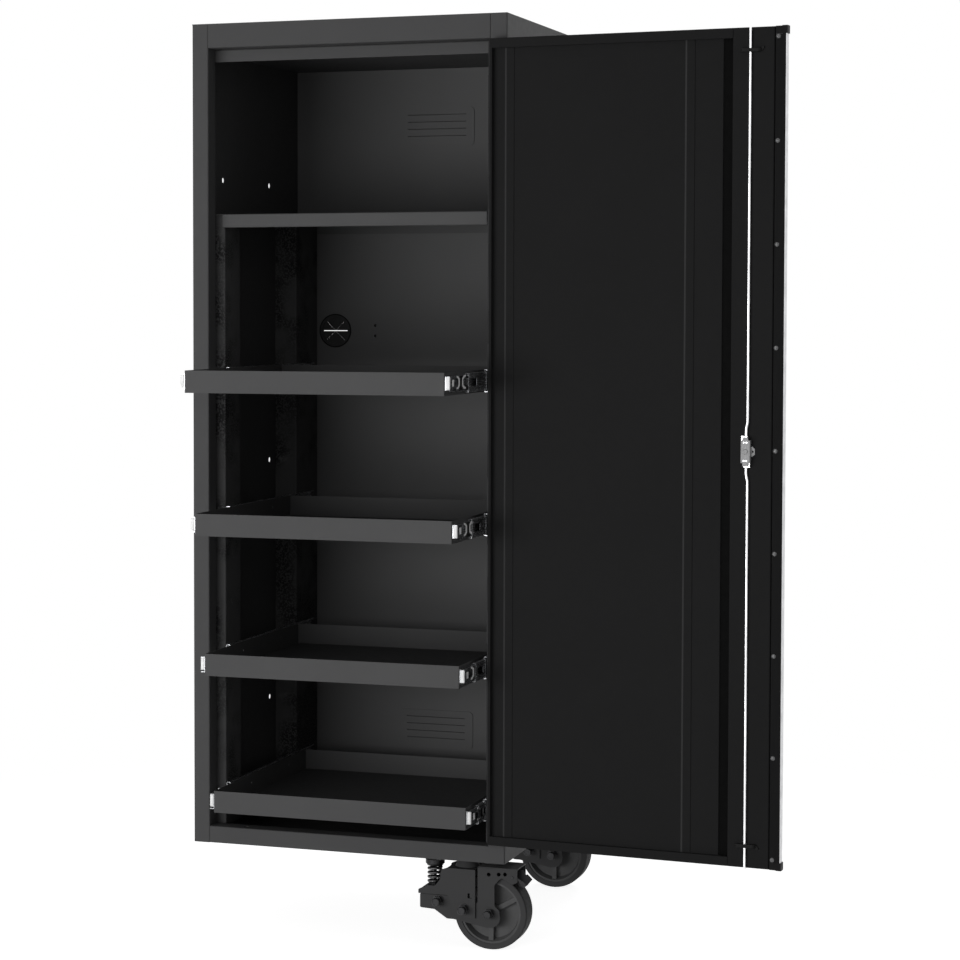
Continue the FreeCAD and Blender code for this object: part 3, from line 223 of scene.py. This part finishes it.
class Recipe:
    """A new material with a Principled shader, and short ways to add nodes to it."""

    def __init__(self, name, colour, roughness, metallic=0.0):
        self.material = bpy.data.materials.new(name)
        self.material.use_nodes = True
        self.tree = self.material.node_tree
        self.shader = self.tree.nodes["Principled BSDF"]
        self.colour = colour
        self.set(self.shader, **{"Roughness": roughness, "Metallic": metallic})
        self.shader.inputs["Base Color"].default_value = (*colour, 1.0)
        self.place = self.add("ShaderNodeTexCoord").outputs["Object"]

    def add(self, kind, **sockets):
        """A new node, with its sockets set by name."""
        node = self.tree.nodes.new(kind)
        self.set(node, **sockets)
        return node

    def set(self, node, **sockets):
        for name, value in sockets.items():
            node.inputs[name].default_value = value

    def link(self, source, target):
        self.tree.links.new(source, target)

    def set_gloss(self, level):
        self.shader.inputs["Specular IOR Level"].default_value = level

    def noise(self, scale, detail=2.0, stretch=EVEN):
        """Noise in metres: scale is how many blobs lie along one metre."""
        vector = self.place
        if stretch != EVEN:
            turn = self.add("ShaderNodeMapping")
            turn.inputs["Scale"].default_value = stretch
            self.link(vector, turn.inputs["Vector"])
            vector = turn.outputs["Vector"]
        node = self.add("ShaderNodeTexNoise", Scale=scale, Detail=detail)
        self.link(vector, node.inputs["Vector"])
        return node.outputs["Fac"]

    def spread(self, value, low, high, start=0.3, end=0.7):
        """Maps the middle of a noise to low..high."""
        node = self.add("ShaderNodeMapRange")
        node.clamp = True
        node.inputs["From Min"].default_value = start
        node.inputs["From Max"].default_value = end
        node.inputs["To Min"].default_value = low
        node.inputs["To Max"].default_value = high
        self.link(value, node.inputs["Value"])
        return node.outputs["Result"]

    def tint(self, value, dark, light):
        """Colours the surface between two shades of its own colour."""
        node = self.add("ShaderNodeMix")
        node.data_type = "RGBA"
        self.link(value, node.inputs["Factor"])
        node.inputs["A"].default_value = (*[c * dark for c in self.colour], 1.0)
        node.inputs["B"].default_value = (*[c * light for c in self.colour], 1.0)
        self.link(node.outputs["Result"], self.shader.inputs["Base Color"])

    def math(self, operation, first, second):
        """A Math node; each input is a socket or a number."""
        node = self.add("ShaderNodeMath")
        node.operation = operation
        for socket, value in zip(node.inputs, (first, second)):
            if isinstance(value, (int, float)):
                socket.default_value = value
            else:
                self.link(value, socket)
        return node.outputs[0]

    def along(self, direction, origin):
        """The distance in metres from a point along a direction."""
        node = self.add("ShaderNodeVectorMath")
        node.operation = "DOT_PRODUCT"
        self.link(self.place, node.inputs[0])
        node.inputs[1].default_value = direction
        return self.math("SUBTRACT", node.outputs["Value"], Vector(origin).dot(direction))

    def between(self, value, low, high):
        """1 where the value lies between low and high."""
        above = self.math("GREATER_THAN", value, low)
        below = self.math("LESS_THAN", value, high)
        return self.math("MULTIPLY", above, below)

    def cover(self, mask, colour):
        """Lays another colour over the base colour where the mask is 1."""
        node = self.add("ShaderNodeMix")
        node.data_type = "RGBA"
        self.link(mask, node.inputs["Factor"])
        self.link(self.shader.inputs["Base Color"].links[0].from_socket, node.inputs["A"])
        node.inputs["B"].default_value = (*colour, 1.0)
        self.link(node.outputs["Result"], self.shader.inputs["Base Color"])

    def bump(self, value, depth, strength=1.0):
        """Adds relief in metres of depth, on top of any relief the recipe has already."""
        node = self.add("ShaderNodeBump", Strength=strength, Distance=depth)
        self.link(value, node.inputs["Height"])
        if self.shader.inputs["Normal"].is_linked:
            earlier = self.shader.inputs["Normal"].links[0].from_socket
            self.link(earlier, node.inputs["Normal"])
        self.link(node.outputs["Normal"], self.shader.inputs["Normal"])


# %% [markdown]
# ## Where the door is
# Some finishes change at a fixed line on the door. Among them are painted shade in a
# channel and painted highlights on two ribs and on a cap's tip. The door stands open by
# 176.4 degrees, so its own directions are turned by 3.6 degrees from the cabinet's: one
# runs from the hinge to the free edge, one from the inside of the door to the outside.
# Small pieces are drawn in millimetres, and the matrices here place them on the cabinet or
# on the door.

# %% The door's own directions
MM = 0.001
BODY_BOTTOM = -0.736
CABINET = Matrix.Translation((0.0, -0.270, BODY_BOTTOM)) @ Matrix.Scale(MM, 4)
DOOR_CORNER = (0.584246, -0.278081, BODY_BOTTOM)
DOOR_TURN = Matrix.Rotation(math.radians(-3.6), 4, "Z")
DOOR = Matrix.Translation(DOOR_CORNER) @ DOOR_TURN @ Matrix.Scale(MM, 4)
across_door = tuple(DOOR_TURN @ Vector((1, 0, 0)))
into_door = tuple(DOOR_TURN @ Vector((0, -1, 0)))


def height_mm(z):
    """The height above the bottom of the cabinet's body, in millimetres."""
    return (z - BODY_BOTTOM) / MM


print("across the door:", [round(v, 4) for v in across_door])

# %% [markdown]
# ## Powder coat
# Powder coat is sprayed as dry plastic dust and melted in an oven. It levels out into a
# skin with a faint orange peel, a wave about two millimetres long, over finer pinholes.
# Broad, slow changes of tone keep a large flat panel from looking printed. The recipe can
# also add darker specks in blotches. A darker copy with these specks is painted shade, and
# bands across the door are painted shade and painted highlight.


# %% Powder coat
DEEP_SHADE = (0.0015, 0.0015, 0.0015)


def powder_coat(name, colour, roughness, gloss, specks=0.0, lines=()):
    """Lines are (from, to, highest depth, colour) in metres across the door: bands of
    painted shade and painted highlight.
    """
    coat = Recipe(name, colour, roughness)
    coat.set_gloss(gloss)
    coat.tint(coat.spread(coat.noise(7.0, 3.0), 0.0, 1.0), 0.97, 1.03)
    if specks:
        grain = coat.spread(coat.noise(300.0, 3.0), 1.0, 0.0, 0.50, 0.56)
        where = coat.spread(coat.noise(11.0, 2.0), 0.0, specks, 0.45, 0.62)
        coat.cover(coat.math("MULTIPLY", grain, where), DEEP_SHADE)
    # The bands paint shade in the door's channel and highlights on its two ribs.
    for start, end, deepest, painted_light_colour in lines:
        band = coat.between(coat.along(across_door, DOOR_CORNER), start, end)
        level = coat.math("LESS_THAN", coat.along(into_door, DOOR_CORNER), deepest)
        coat.cover(coat.math("MULTIPLY", band, level), painted_light_colour)
    coat.link(coat.spread(coat.noise(90.0), roughness - 0.03, roughness + 0.03),
              coat.shader.inputs["Roughness"])
    coat.bump(coat.noise(520.0, 2.0), 0.00005, 0.35)
    coat.bump(coat.noise(1900.0, 1.0), 0.00001, 0.4)
    return coat.material


# %% [markdown]
# ## Plated and brushed metal
# Zinc plate follows the rolled sheet below it, so its fine lines run one way and its
# sheen changes in patches. Stretching a noise along one axis draws those lines. The same
# recipe with longer lines gives the brushed aluminium of the door pull.


# %% Metal
LINE_DEPTH = 0.000012


def lined_metal(name, colour, roughness, stretch=EVEN, lines=900.0, metallic=1.0):
    """A metal with fine lines; lines is how many of them lie along one metre."""
    metal = Recipe(name, colour, roughness, metallic)
    grain = metal.noise(lines, 3.0, stretch)
    patch = metal.noise(55.0, 3.0)
    metal.tint(metal.spread(patch, 0.0, 1.0), 0.82, 1.08)
    metal.link(metal.spread(grain, roughness * 0.75, roughness * 1.3),
               metal.shader.inputs["Roughness"])
    metal.bump(grain, LINE_DEPTH, 0.5)
    return metal


def plated(*values, **named):
    return lined_metal(*values, **named).material


# %% [markdown]
# ## The pull's two finishes
# The pull is one extrusion. Its screw face is painted like the door, and the wrap round the
# free edge is bare brushed aluminium, so one material holds both and a mask divides them.


# %% Pull
ALONG_Z = (1.0, 1.0, 0.02)
ALONG_Y = (1.0, 0.03, 1.0)
PANEL_DEPTH = 0.006


def half_painted(name, metal_colour, paint_colour, edge):
    """Paint up to the edge, in metres across the door, on the side away from the skin."""
    pull = lined_metal(name, metal_colour, 0.34, ALONG_Z, 1400.0)
    roughness = pull.shader.inputs["Roughness"]
    inner = pull.math("LESS_THAN", pull.along(across_door, DOOR_CORNER), edge)
    front = pull.math("GREATER_THAN", pull.along(into_door, DOOR_CORNER), PANEL_DEPTH)
    mask = pull.math("MULTIPLY", inner, front)
    pull.cover(mask, paint_colour)
    pull.link(pull.math("SUBTRACT", 1.0, mask), pull.shader.inputs["Metallic"])
    rougher = pull.math("MULTIPLY", mask, 0.3)
    pull.link(pull.math("ADD", roughness.links[0].from_socket, rougher), roughness)
    pull.set_gloss(0.04)
    return pull.material


# %% [markdown]
# ## Plastic and rubber
# Moulded pieces copy the texture of their mould: a fine spark-eroded grain on nylon and a
# softer, dustier one on a cast polyurethane tread.


# %% Plastic
MOULD_DEPTH = 0.00003


def moulded(name, colour, roughness, gloss, grain=1400.0, lit_flanks=None, tip_highlight=None):
    """The lit_flanks colour is painted light, lighter than the rest, on the faces that look
    along the wheel's axle. The tip_highlight is (distance, colour): a painted highlight on
    what lies beyond that distance across the door."""
    skin = Recipe(name, colour, roughness)
    skin.set_gloss(gloss)
    skin.tint(skin.spread(skin.noise(40.0, 3.0), 0.0, 1.0), 0.88, 1.12)
    if lit_flanks:
        facing = skin.add("ShaderNodeSeparateXYZ")
        coordinates = skin.add("ShaderNodeTexCoord")
        skin.link(coordinates.outputs["Normal"], facing.inputs[0])
        side = skin.math("ABSOLUTE", facing.outputs["Y"], 0.0)
        skin.cover(skin.math("GREATER_THAN", side, 0.55), lit_flanks)
    if tip_highlight:
        beyond = skin.math("GREATER_THAN", skin.along(across_door, DOOR_CORNER), tip_highlight[0])
        skin.cover(beyond, tip_highlight[1])
    skin.link(skin.spread(skin.noise(180.0), roughness - 0.06, roughness + 0.08),
              skin.shader.inputs["Roughness"])
    skin.bump(skin.noise(grain, 2.0), MOULD_DEPTH, 0.5)
    return skin.material


# %% [markdown]
# ## One finish for each kind of surface
# The record of the part names its finishes. Each name gets one material here, and every
# solid takes the material of its own finish. The exceptions are the rear wall and the left
# uprights, which take copies of the inner paint with painted light and painted shade.

# %% Finishes by name
# Painted shade in the channel beside the stile, and painted highlights on the hinge-side slopes
# of the door's two ribs.
RIB_PAINTED_HIGHLIGHT = (0.036, 0.036, 0.0365)
PAINTED_SHADE_CHANNEL = (0.4262, 0.4434, PANEL_DEPTH, DEEP_SHADE)
FIRST_RIB_PAINTED_HIGHLIGHT = (0.0262, 0.0296, PANEL_DEPTH, RIB_PAINTED_HIGHLIGHT)
SECOND_RIB_PAINTED_HIGHLIGHT = (0.3572, 0.3606, PANEL_DEPTH, RIB_PAINTED_HIGHLIGHT)
finishes = {
    "shell_paint": powder_coat("shell_paint", (0.066, 0.066, 0.067), 0.55, 0.08),
    "inner_paint": powder_coat("inner_paint", (0.082, 0.082, 0.083), 0.60, 0.05),
    "tray_paint": powder_coat("tray_paint", (0.076, 0.076, 0.077), 0.55, 0.07),
    "door_paint": powder_coat("door_paint", (0.0132, 0.0132, 0.0134), 0.60, 0.03,
                              lines=(PAINTED_SHADE_CHANNEL, FIRST_RIB_PAINTED_HIGHLIGHT, SECOND_RIB_PAINTED_HIGHLIGHT)),
    "pull_aluminium": half_painted("pull_aluminium", (0.62, 0.62, 0.63),
                                   (0.0085, 0.0085, 0.0087), 0.5358),
    "screw_zinc": plated("screw_zinc", (0.10, 0.10, 0.102), 0.25, metallic=0.3),
    # The cap's tip beyond the door's edge is painted lighter: a painted highlight.
    "cap_plastic": moulded("cap_plastic", (0.0085, 0.0085, 0.0087), 0.50, 0.05,
                           tip_highlight=(0.5372, (0.04, 0.04, 0.041))),
    "hinge_steel": powder_coat("hinge_steel", (0.020, 0.020, 0.021), 0.45, 0.1),
    "slide_zinc": plated("slide_zinc", (0.34, 0.345, 0.355), 0.24, ALONG_Y, metallic=0.8),
    "latch_zinc": plated("latch_zinc", (0.31, 0.31, 0.315), 0.50, ALONG_Z, metallic=0.0),
    "lock_chrome": plated("lock_chrome", (0.78, 0.78, 0.80), 0.12),
    "rod_zinc": plated("rod_zinc", (0.84, 0.84, 0.85), 0.30, ALONG_Z),
    "guide_plastic": moulded("guide_plastic", (0.007, 0.007, 0.007), 0.50, 0.08),
    "grommet_rubber": moulded("grommet_rubber", (0.040, 0.040, 0.040), 0.60, 0.06),
    "caster_steel": powder_coat("caster_steel", (0.048, 0.048, 0.049), 0.52, 0.06),
    "brake_steel": powder_coat("brake_steel", (0.020, 0.020, 0.021), 0.50, 0.06),
    "bolt_black": plated("bolt_black", (0.030, 0.030, 0.031), 0.35),
    "spring_steel": plated("spring_steel", (0.105, 0.105, 0.107), 0.30),
    "wheel_centre": moulded("wheel_centre", (0.082, 0.082, 0.083), 0.50, 0.10, 700.0),
    # The tyre's flanks are painted lighter than its tread: painted light by which way a face
    # points.
    "wheel_tread": moulded("wheel_tread", (0.011, 0.011, 0.0115), 0.60, 0.06, 900.0,
                           lit_flanks=(0.052, 0.052, 0.053)),
}
# A lighter copy of the inner paint is painted light for the rear wall, and a darker, specked
# copy is painted shade for the left uprights.
painted_light_wall_paint = powder_coat("painted_light_wall_paint", (0.105, 0.105, 0.106), 0.60, 0.04)
shaded_paint = powder_coat("shaded_paint", (0.078, 0.078, 0.079), 0.60, 0.05, specks=0.75)
end_block_nylon = moulded("end_block_nylon", (0.92, 0.92, 0.92), 0.45, 0.3)
slot_of = {part["node"]: part["material_slot"] for part in frame["record"]["subparts"]}

for name, thing in nodes.items():
    thing.data.materials.clear()
    thing.data.materials.append(finishes[slot_of[name]])
# Painted light on the rear wall, painted shade on the left uprights.
nodes["rear_wall"].data.materials[0] = painted_light_wall_paint
nodes["slide_uprights_left"].data.materials[0] = shaded_paint
print("finishes:", len(finishes))

# %% [markdown]
# ## Helpers for the small pieces
# Each small piece is drawn in millimetres beside what carries it, and a matrix then takes
# its mesh to its place. Its object stays at the origin, as those of the solids do.


# %% Helpers for small pieces
def block(shape, low, high, ease=0.0, steps=2):
    """A block between two corners, with eased edges."""
    size = Vector(high) - Vector(low)
    middle = (Vector(high) + Vector(low)) / 2
    form = Matrix.Translation(middle) @ Matrix.Diagonal((*size, 1.0))
    made = bmesh.ops.create_cube(shape, size=1.0, matrix=form)
    if ease:
        edges = list({edge for corner in made["verts"] for edge in corner.link_edges})
        bmesh.ops.bevel(shape, geom=edges, offset=ease, segments=steps, affect="EDGES",
                        profile=0.5, material=-1)


def plate(shape, outline, start, thick, holes=(), plane="yz"):
    """A flat plate: its outline and round holes are filled, then drawn out in thickness."""
    def lift(a, b):
        return (start, a, b) if plane == "yz" else (a, start, b)

    loops = [outline] + [[(a + r * math.cos(k * math.pi / 8), b + r * math.sin(k * math.pi / 8))
                          for k in range(16)] for a, b, r in holes]
    edges = []
    for loop in loops:
        corners = [shape.verts.new(lift(a, b)) for a, b in loop]
        edges += [shape.edges.new((corners[i - 1], corners[i])) for i in range(len(loop))]
    sheet = bmesh.ops.triangle_fill(shape, use_beauty=True, use_dissolve=True, edges=edges)
    faces = [f for f in sheet["geom"] if isinstance(f, bmesh.types.BMFace)]
    drawn = bmesh.ops.extrude_face_region(shape, geom=faces, use_keep_orig=True)
    moved = [v for v in drawn["geom"] if isinstance(v, bmesh.types.BMVert)]
    step = (thick, 0, 0) if plane == "yz" else (0, thick, 0)
    bmesh.ops.translate(shape, verts=moved, vec=step)


def dome(shape, radius, rise, turn, place):
    """A low screw or rivet head: a short cone with a flat top."""
    form = Matrix.Translation(place) @ turn
    bmesh.ops.create_cone(shape, cap_ends=True, segments=16, radius1=radius,
                          radius2=radius * 0.62, depth=rise, matrix=form)


def piece(name, shape, place, body, slot, finish=None):
    """Makes the drawn shape a piece that rides on a body."""
    shape.transform(place)
    bmesh.ops.recalc_face_normals(shape, faces=shape.faces)
    mesh = bpy.data.meshes.new(name)
    shape.to_mesh(mesh)
    shape.free()
    mesh.polygons.foreach_set("use_smooth", [True] * len(mesh.polygons))
    mesh.set_sharp_from_angle(angle=math.radians(32))
    mesh.materials.append(finish or finishes[slot])
    thing = bpy.data.objects.new(name, mesh)
    scene.collection.objects.link(thing)
    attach(thing, body)
    return thing


TO_LEFT = Matrix.Rotation(-math.pi / 2, 4, "Y")
TO_FRONT = Matrix.Rotation(math.pi / 2, 4, "X")

# %% [markdown]
# ## Slide ends
# The inner member of each slide ends in a white nylon block that closes it and keeps the
# tray from rattling. Behind it sit a stop bar and the two bowed clips that catch the tray,
# with the dark ball cage between them. They are drawn once for the right side, from the
# tray's front corner, and mirrored for the left. In the right slides, two dark strips are
# painted shade that covers the bright ends of the channel.

# %% Slide ends
RAISED = 2.0
CLIP_FRONT = [(45, 12.0), (54, 10.6), (62.5, 6.2), (62.5, -6.2), (54, -10.6), (45, -12.0),
              (45, -8.6), (51, -7.6), (56, -4.4), (56, 4.4), (51, 7.6), (45, 8.6)]
CLIP_BACK = [(98, 12.4), (88, 11.8), (76.6, 6.6), (76.6, -6.6), (88, -11.8), (98, -12.4),
             (98, -9.0), (91, -8.4), (83, -4.8), (83, 4.8), (91, 8.4), (98, 9.0)]


def raised(outline):
    return [(a, b + RAISED) for a, b in outline]


for number in range(1, 5):
    low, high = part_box(f"tray_{number}")
    middle = (low.z + high.z) / 2
    for side, across in (("left", low.x), ("right", high.x)):
        facing = -1 if side == "left" else 1
        place = (Matrix.Translation((across, low.y, middle))
                 @ Matrix.Diagonal((facing * MM, MM, MM, 1.0)))
        body = f"tray_{number}"
        ends = bmesh.new()
        block(ends, (1.7, 2.4, -10.3), (9.1, 7.6, 13.2), 2.2, 3)
        piece(f"{body}_end_block_{side}", ends, place, body, "cap_plastic", end_block_nylon)
        clips = bmesh.new()
        block(clips, (8.45, 19.0, -4.2), (9.1, 28.0, 7.6), 0.25, 1)
        plate(clips, raised(CLIP_FRONT), 8.5, 0.6)
        plate(clips, raised(CLIP_BACK), 8.5, 0.6)
        piece(f"{body}_clips_{side}", clips, place, body, "cap_plastic", end_block_nylon)
        cage_and_shade_strips = bmesh.new()
        # Two dark strips of painted shade cover the bright ends of the right channel.
        if side == "right":
            block(cage_and_shade_strips, (0.1, 2.0, -14.6), (8.9, 2.9, -10.5), 0.3, 1)
            block(cage_and_shade_strips, (0.1, 2.0, 13.4), (8.9, 2.9, 14.6), 0.3, 1)
        block(cage_and_shade_strips, (7.6, 62.2, -11.5), (8.95, 76.8, 13.5), 0.3, 1)
        piece(f"{body}_ball_cage_{side}", cage_and_shade_strips, place, body, "guide_plastic")
        screws = bmesh.new()
        for back in (30.0, 190.0, 390.0):
            dome(screws, 3.4, 1.3, TO_LEFT, (-1.85, back, 2.75))
        piece(f"{body}_screws_{side}", screws, place, body, "screw_zinc")
        beads = bmesh.new()
        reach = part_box(f"{body}_middle_slides")
        start = (reach[0].y - low.y) / MM
        for height in (11.2, -7.2):
            block(beads, (10.0, start + 5, height - 1.1), (10.72, start + 440, height + 1.1),
                  0.3, 2)
        piece(f"{body}_runner_beads_{side}", beads, place, f"{body}_runners", "slide_zinc")
print("slide ends: 8 sets")

# %% [markdown]
# ## Latch cover
# The latch's racks run under a pressed zinc cover with narrower tongues at both ends and a
# pair of rivets near each, and a lug with a hole holds it to the stile. This piece is finer
# than the plain housing, so it stands for it.

# %% Latch cover
TOP = 23.3
cover = bmesh.new()
face = [(465.0, 741.5), (465.0, 780.5), (467.8, 780.5), (467.8, 786.0), (477.8, 786.0),
        (477.8, 780.5), (480.6, 780.5), (480.6, 741.5), (477.8, 741.5), (477.8, 736.0),
        (467.8, 736.0), (467.8, 741.5)]
plate(cover, face, -TOP, 0.8, holes=[(472.8, 761.0, 4.6)], plane="xz")
for start in (465.0, 480.0):
    block(cover, (start, -TOP + 0.8, 741.5), (start + 0.6, -13.5, 780.5), 0.0)
lug = [(480.6, 752.6), (480.6, 769.4), (483.4, 769.4), (487.6, 766.0), (487.6, 756.0),
       (483.4, 752.6)]
plate(cover, lug, -15.6, 2.0, holes=[(484.0, 761.0, 1.9)], plane="xz")
latch = piece("latch_cover", cover, DOOR, "door", "latch_zinc")
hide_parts("latch_housing")
rivets = bmesh.new()
for height in (777.0, 745.4):
    for beside in (470.4, 475.2):
        dome(rivets, 2.0, 1.2, TO_FRONT, (beside, -TOP - 0.5, height))
piece("latch_rivets", rivets, DOOR, "door", "rod_zinc")
print("latch cover:", len(latch.data.polygons), "faces")

# %% [markdown]
# ## Ends of the rod guides
# Each guide is a strap whose free end is bent away from the middle of the door, so a rod
# that is pressed in can't slip out. A shim closes the gap under the upper end cap.

# %% Guide ends and shims
BEND = [(488.5, -3.0), (494.0, -3.0), (498.5, 2.5), (498.5, 6.0), (495.0, 6.0), (492.5, 3.0),
        (488.5, 3.0)]
tabs = bmesh.new()
low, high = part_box("rod_guides")
top_guide, bottom_guide = height_mm(high.z) - 3.0, height_mm(low.z) + 3.0
for height, way in ((top_guide, 1), (bottom_guide, -1)):
    plate(tabs, [(x, height + way * rise) for x, rise in BEND], -16.0, 2.5, plane="xz")
piece("guide_tabs", tabs, DOOR, "door", "guide_plastic")
shims = bmesh.new()
shim_height = height_mm(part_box("door_pull")[1].z) - 1.2
block(shims, (518.4, -13.0, shim_height), (530.0, -12.4, shim_height + 1.0), 0.2, 1)
piece("pull_shim", shims, DOOR, "door", "caster_steel")
print("guides at", round(top_guide), "and", round(bottom_guide), "mm")

# %% [markdown]
# ## Caster brackets
# A pressed web ties the two plates of each caster's arm above the wheel, in front of the
# swivel. It keeps the plates square when the wheel hits a threshold.

# %% Caster webs
for end in ("front", "rear"):
    low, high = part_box(f"{end}_caster_arm")
    fork_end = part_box(f"{end}_caster_fork")[1].x
    web = bmesh.new()
    block(web, (fork_end / MM + 4.5, low.y / MM + 0.2, high.z / MM - 1.8),
          (high.x / MM - 6.0, high.y / MM - 0.2, high.z / MM - 0.1), 0.3, 2)
    piece(f"{end}_arm_web", web, Matrix.Scale(MM, 4), f"{end}_caster_arm", "caster_steel")
print("caster webs: 2")

# %% [markdown]
# ## Brake tabs
# Each brake lever has a flat tab beside its pad, cut from the same sheet and turned up, so
# the toe of a shoe can lift the brake off again. Its outline is drawn from the swivel's axis.

# %% Brake tabs
AXLE_TRAIL = 50.0
TAB = [(95.0, -27.0), (103.0, -21.5), (110.4, -20.9), (112.3, -27.4), (115.3, -28.6),
       (118.0, -27.5), (127.1, -36.3), (117.3, -48.3), (109.7, -41.8), (102.1, -37.2),
       (95.0, -35.0)]
for end in ("front", "rear"):
    low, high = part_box(f"{end}_wheel_tyre")
    axle = (low + high) / 2
    swivel = Vector((axle.x / MM - AXLE_TRAIL, axle.y / MM, BODY_BOTTOM / MM))
    tab = bmesh.new()
    plate(tab, TAB, -13.5, 3.0, plane="xz")
    bmesh.ops.bevel(tab, geom=tab.edges[:], offset=0.5, segments=2, affect="EDGES",
                    profile=0.5, material=-1)
    place = Matrix.Scale(MM, 4) @ Matrix.Translation(swivel)
    piece(f"{end}_brake_tab", tab, place, f"{end}_brake", "brake_steel")
print("brake tabs: 2")

# %% [markdown]
# ## Springs
# A coil is a circle of wire spun round the spring's axis while it climbs. The caster's arm
# presses the spring down on its seat, and the coil rides on the fork.

# %% Springs
TURNS = 4
STEPS = TURNS * 28
WIRE = 0.0029
for end in ("front", "rear"):
    low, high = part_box(f"{end}_caster_spring")
    foot = Vector(((low.x + high.x) / 2, (low.y + high.y) / 2, low.z))
    reach = (high.x - low.x) / 2 - WIRE
    climb = high.z - low.z - 2 * WIRE
    coil = bmesh.new()
    start = Matrix.Translation(foot + Vector((reach, 0, WIRE))) @ TO_FRONT
    bmesh.ops.create_circle(coil, cap_ends=True, segments=10, radius=WIRE, matrix=start)
    bmesh.ops.spin(coil, geom=coil.verts[:] + coil.edges[:] + coil.faces[:], cent=foot,
                   axis=(0, 0, 1), dvec=(0, 0, climb / STEPS), angle=TURNS * 2 * math.pi,
                   steps=STEPS, use_merge=False, use_duplicate=False)
    spring = piece(f"{end}_coil", coil, Matrix.Identity(4), f"{end}_caster_fork",
                   "spring_steel")
    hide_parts(f"{end}_caster_spring")
    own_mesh(spring)
print("spring turns:", TURNS)

# %% [markdown]
# ## Lip of the grommet
# The grommet's flange has a raised lip. It takes a darker finish than the grommet, painted
# shade that reads as a dark ring on the wall.

# %% Grommet lip
LIP_RADIUS = 0.0011
low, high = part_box("cable_grommet")
lip = bmesh.new()
middle = Vector(((low.x + high.x) / 2, low.y, (low.z + high.z) / 2))
reach = (high.x - low.x) / 2 - 0.0012
start = Matrix.Translation(middle + Vector((reach, 0, 0)))
bmesh.ops.create_circle(lip, cap_ends=False, segments=8, radius=LIP_RADIUS, matrix=start)
bmesh.ops.spin(lip, geom=lip.verts[:] + lip.edges[:], cent=middle, axis=(0, 1, 0),
               angle=2 * math.pi, steps=72, use_merge=True, use_duplicate=False)
bmesh.ops.remove_doubles(lip, verts=lip.verts, dist=0.00001)
# The lip takes the darker guide plastic: painted shade along the flange's edge.
piece("grommet_lip", lip, Matrix.Identity(4), "cabinet", "grommet_rubber",
      finishes["guide_plastic"])

# %% [markdown]
# ## The sill's facing
# A thin facing runs over the sill and round to the right corner, so only the joint on the
# left shows.

# %% Sill facing
facing = bmesh.new()
block(facing, (32.6, -0.4, 0.5), (608.6, 0.0, 31.0), 0.15, 1)
piece("sill_facing", facing, CABINET, "cabinet", "shell_paint")

# %% [markdown]
# ## Finish
# The colours are shown with the Standard view transform.

# %% Finish
scene.view_settings.view_transform = "Standard"
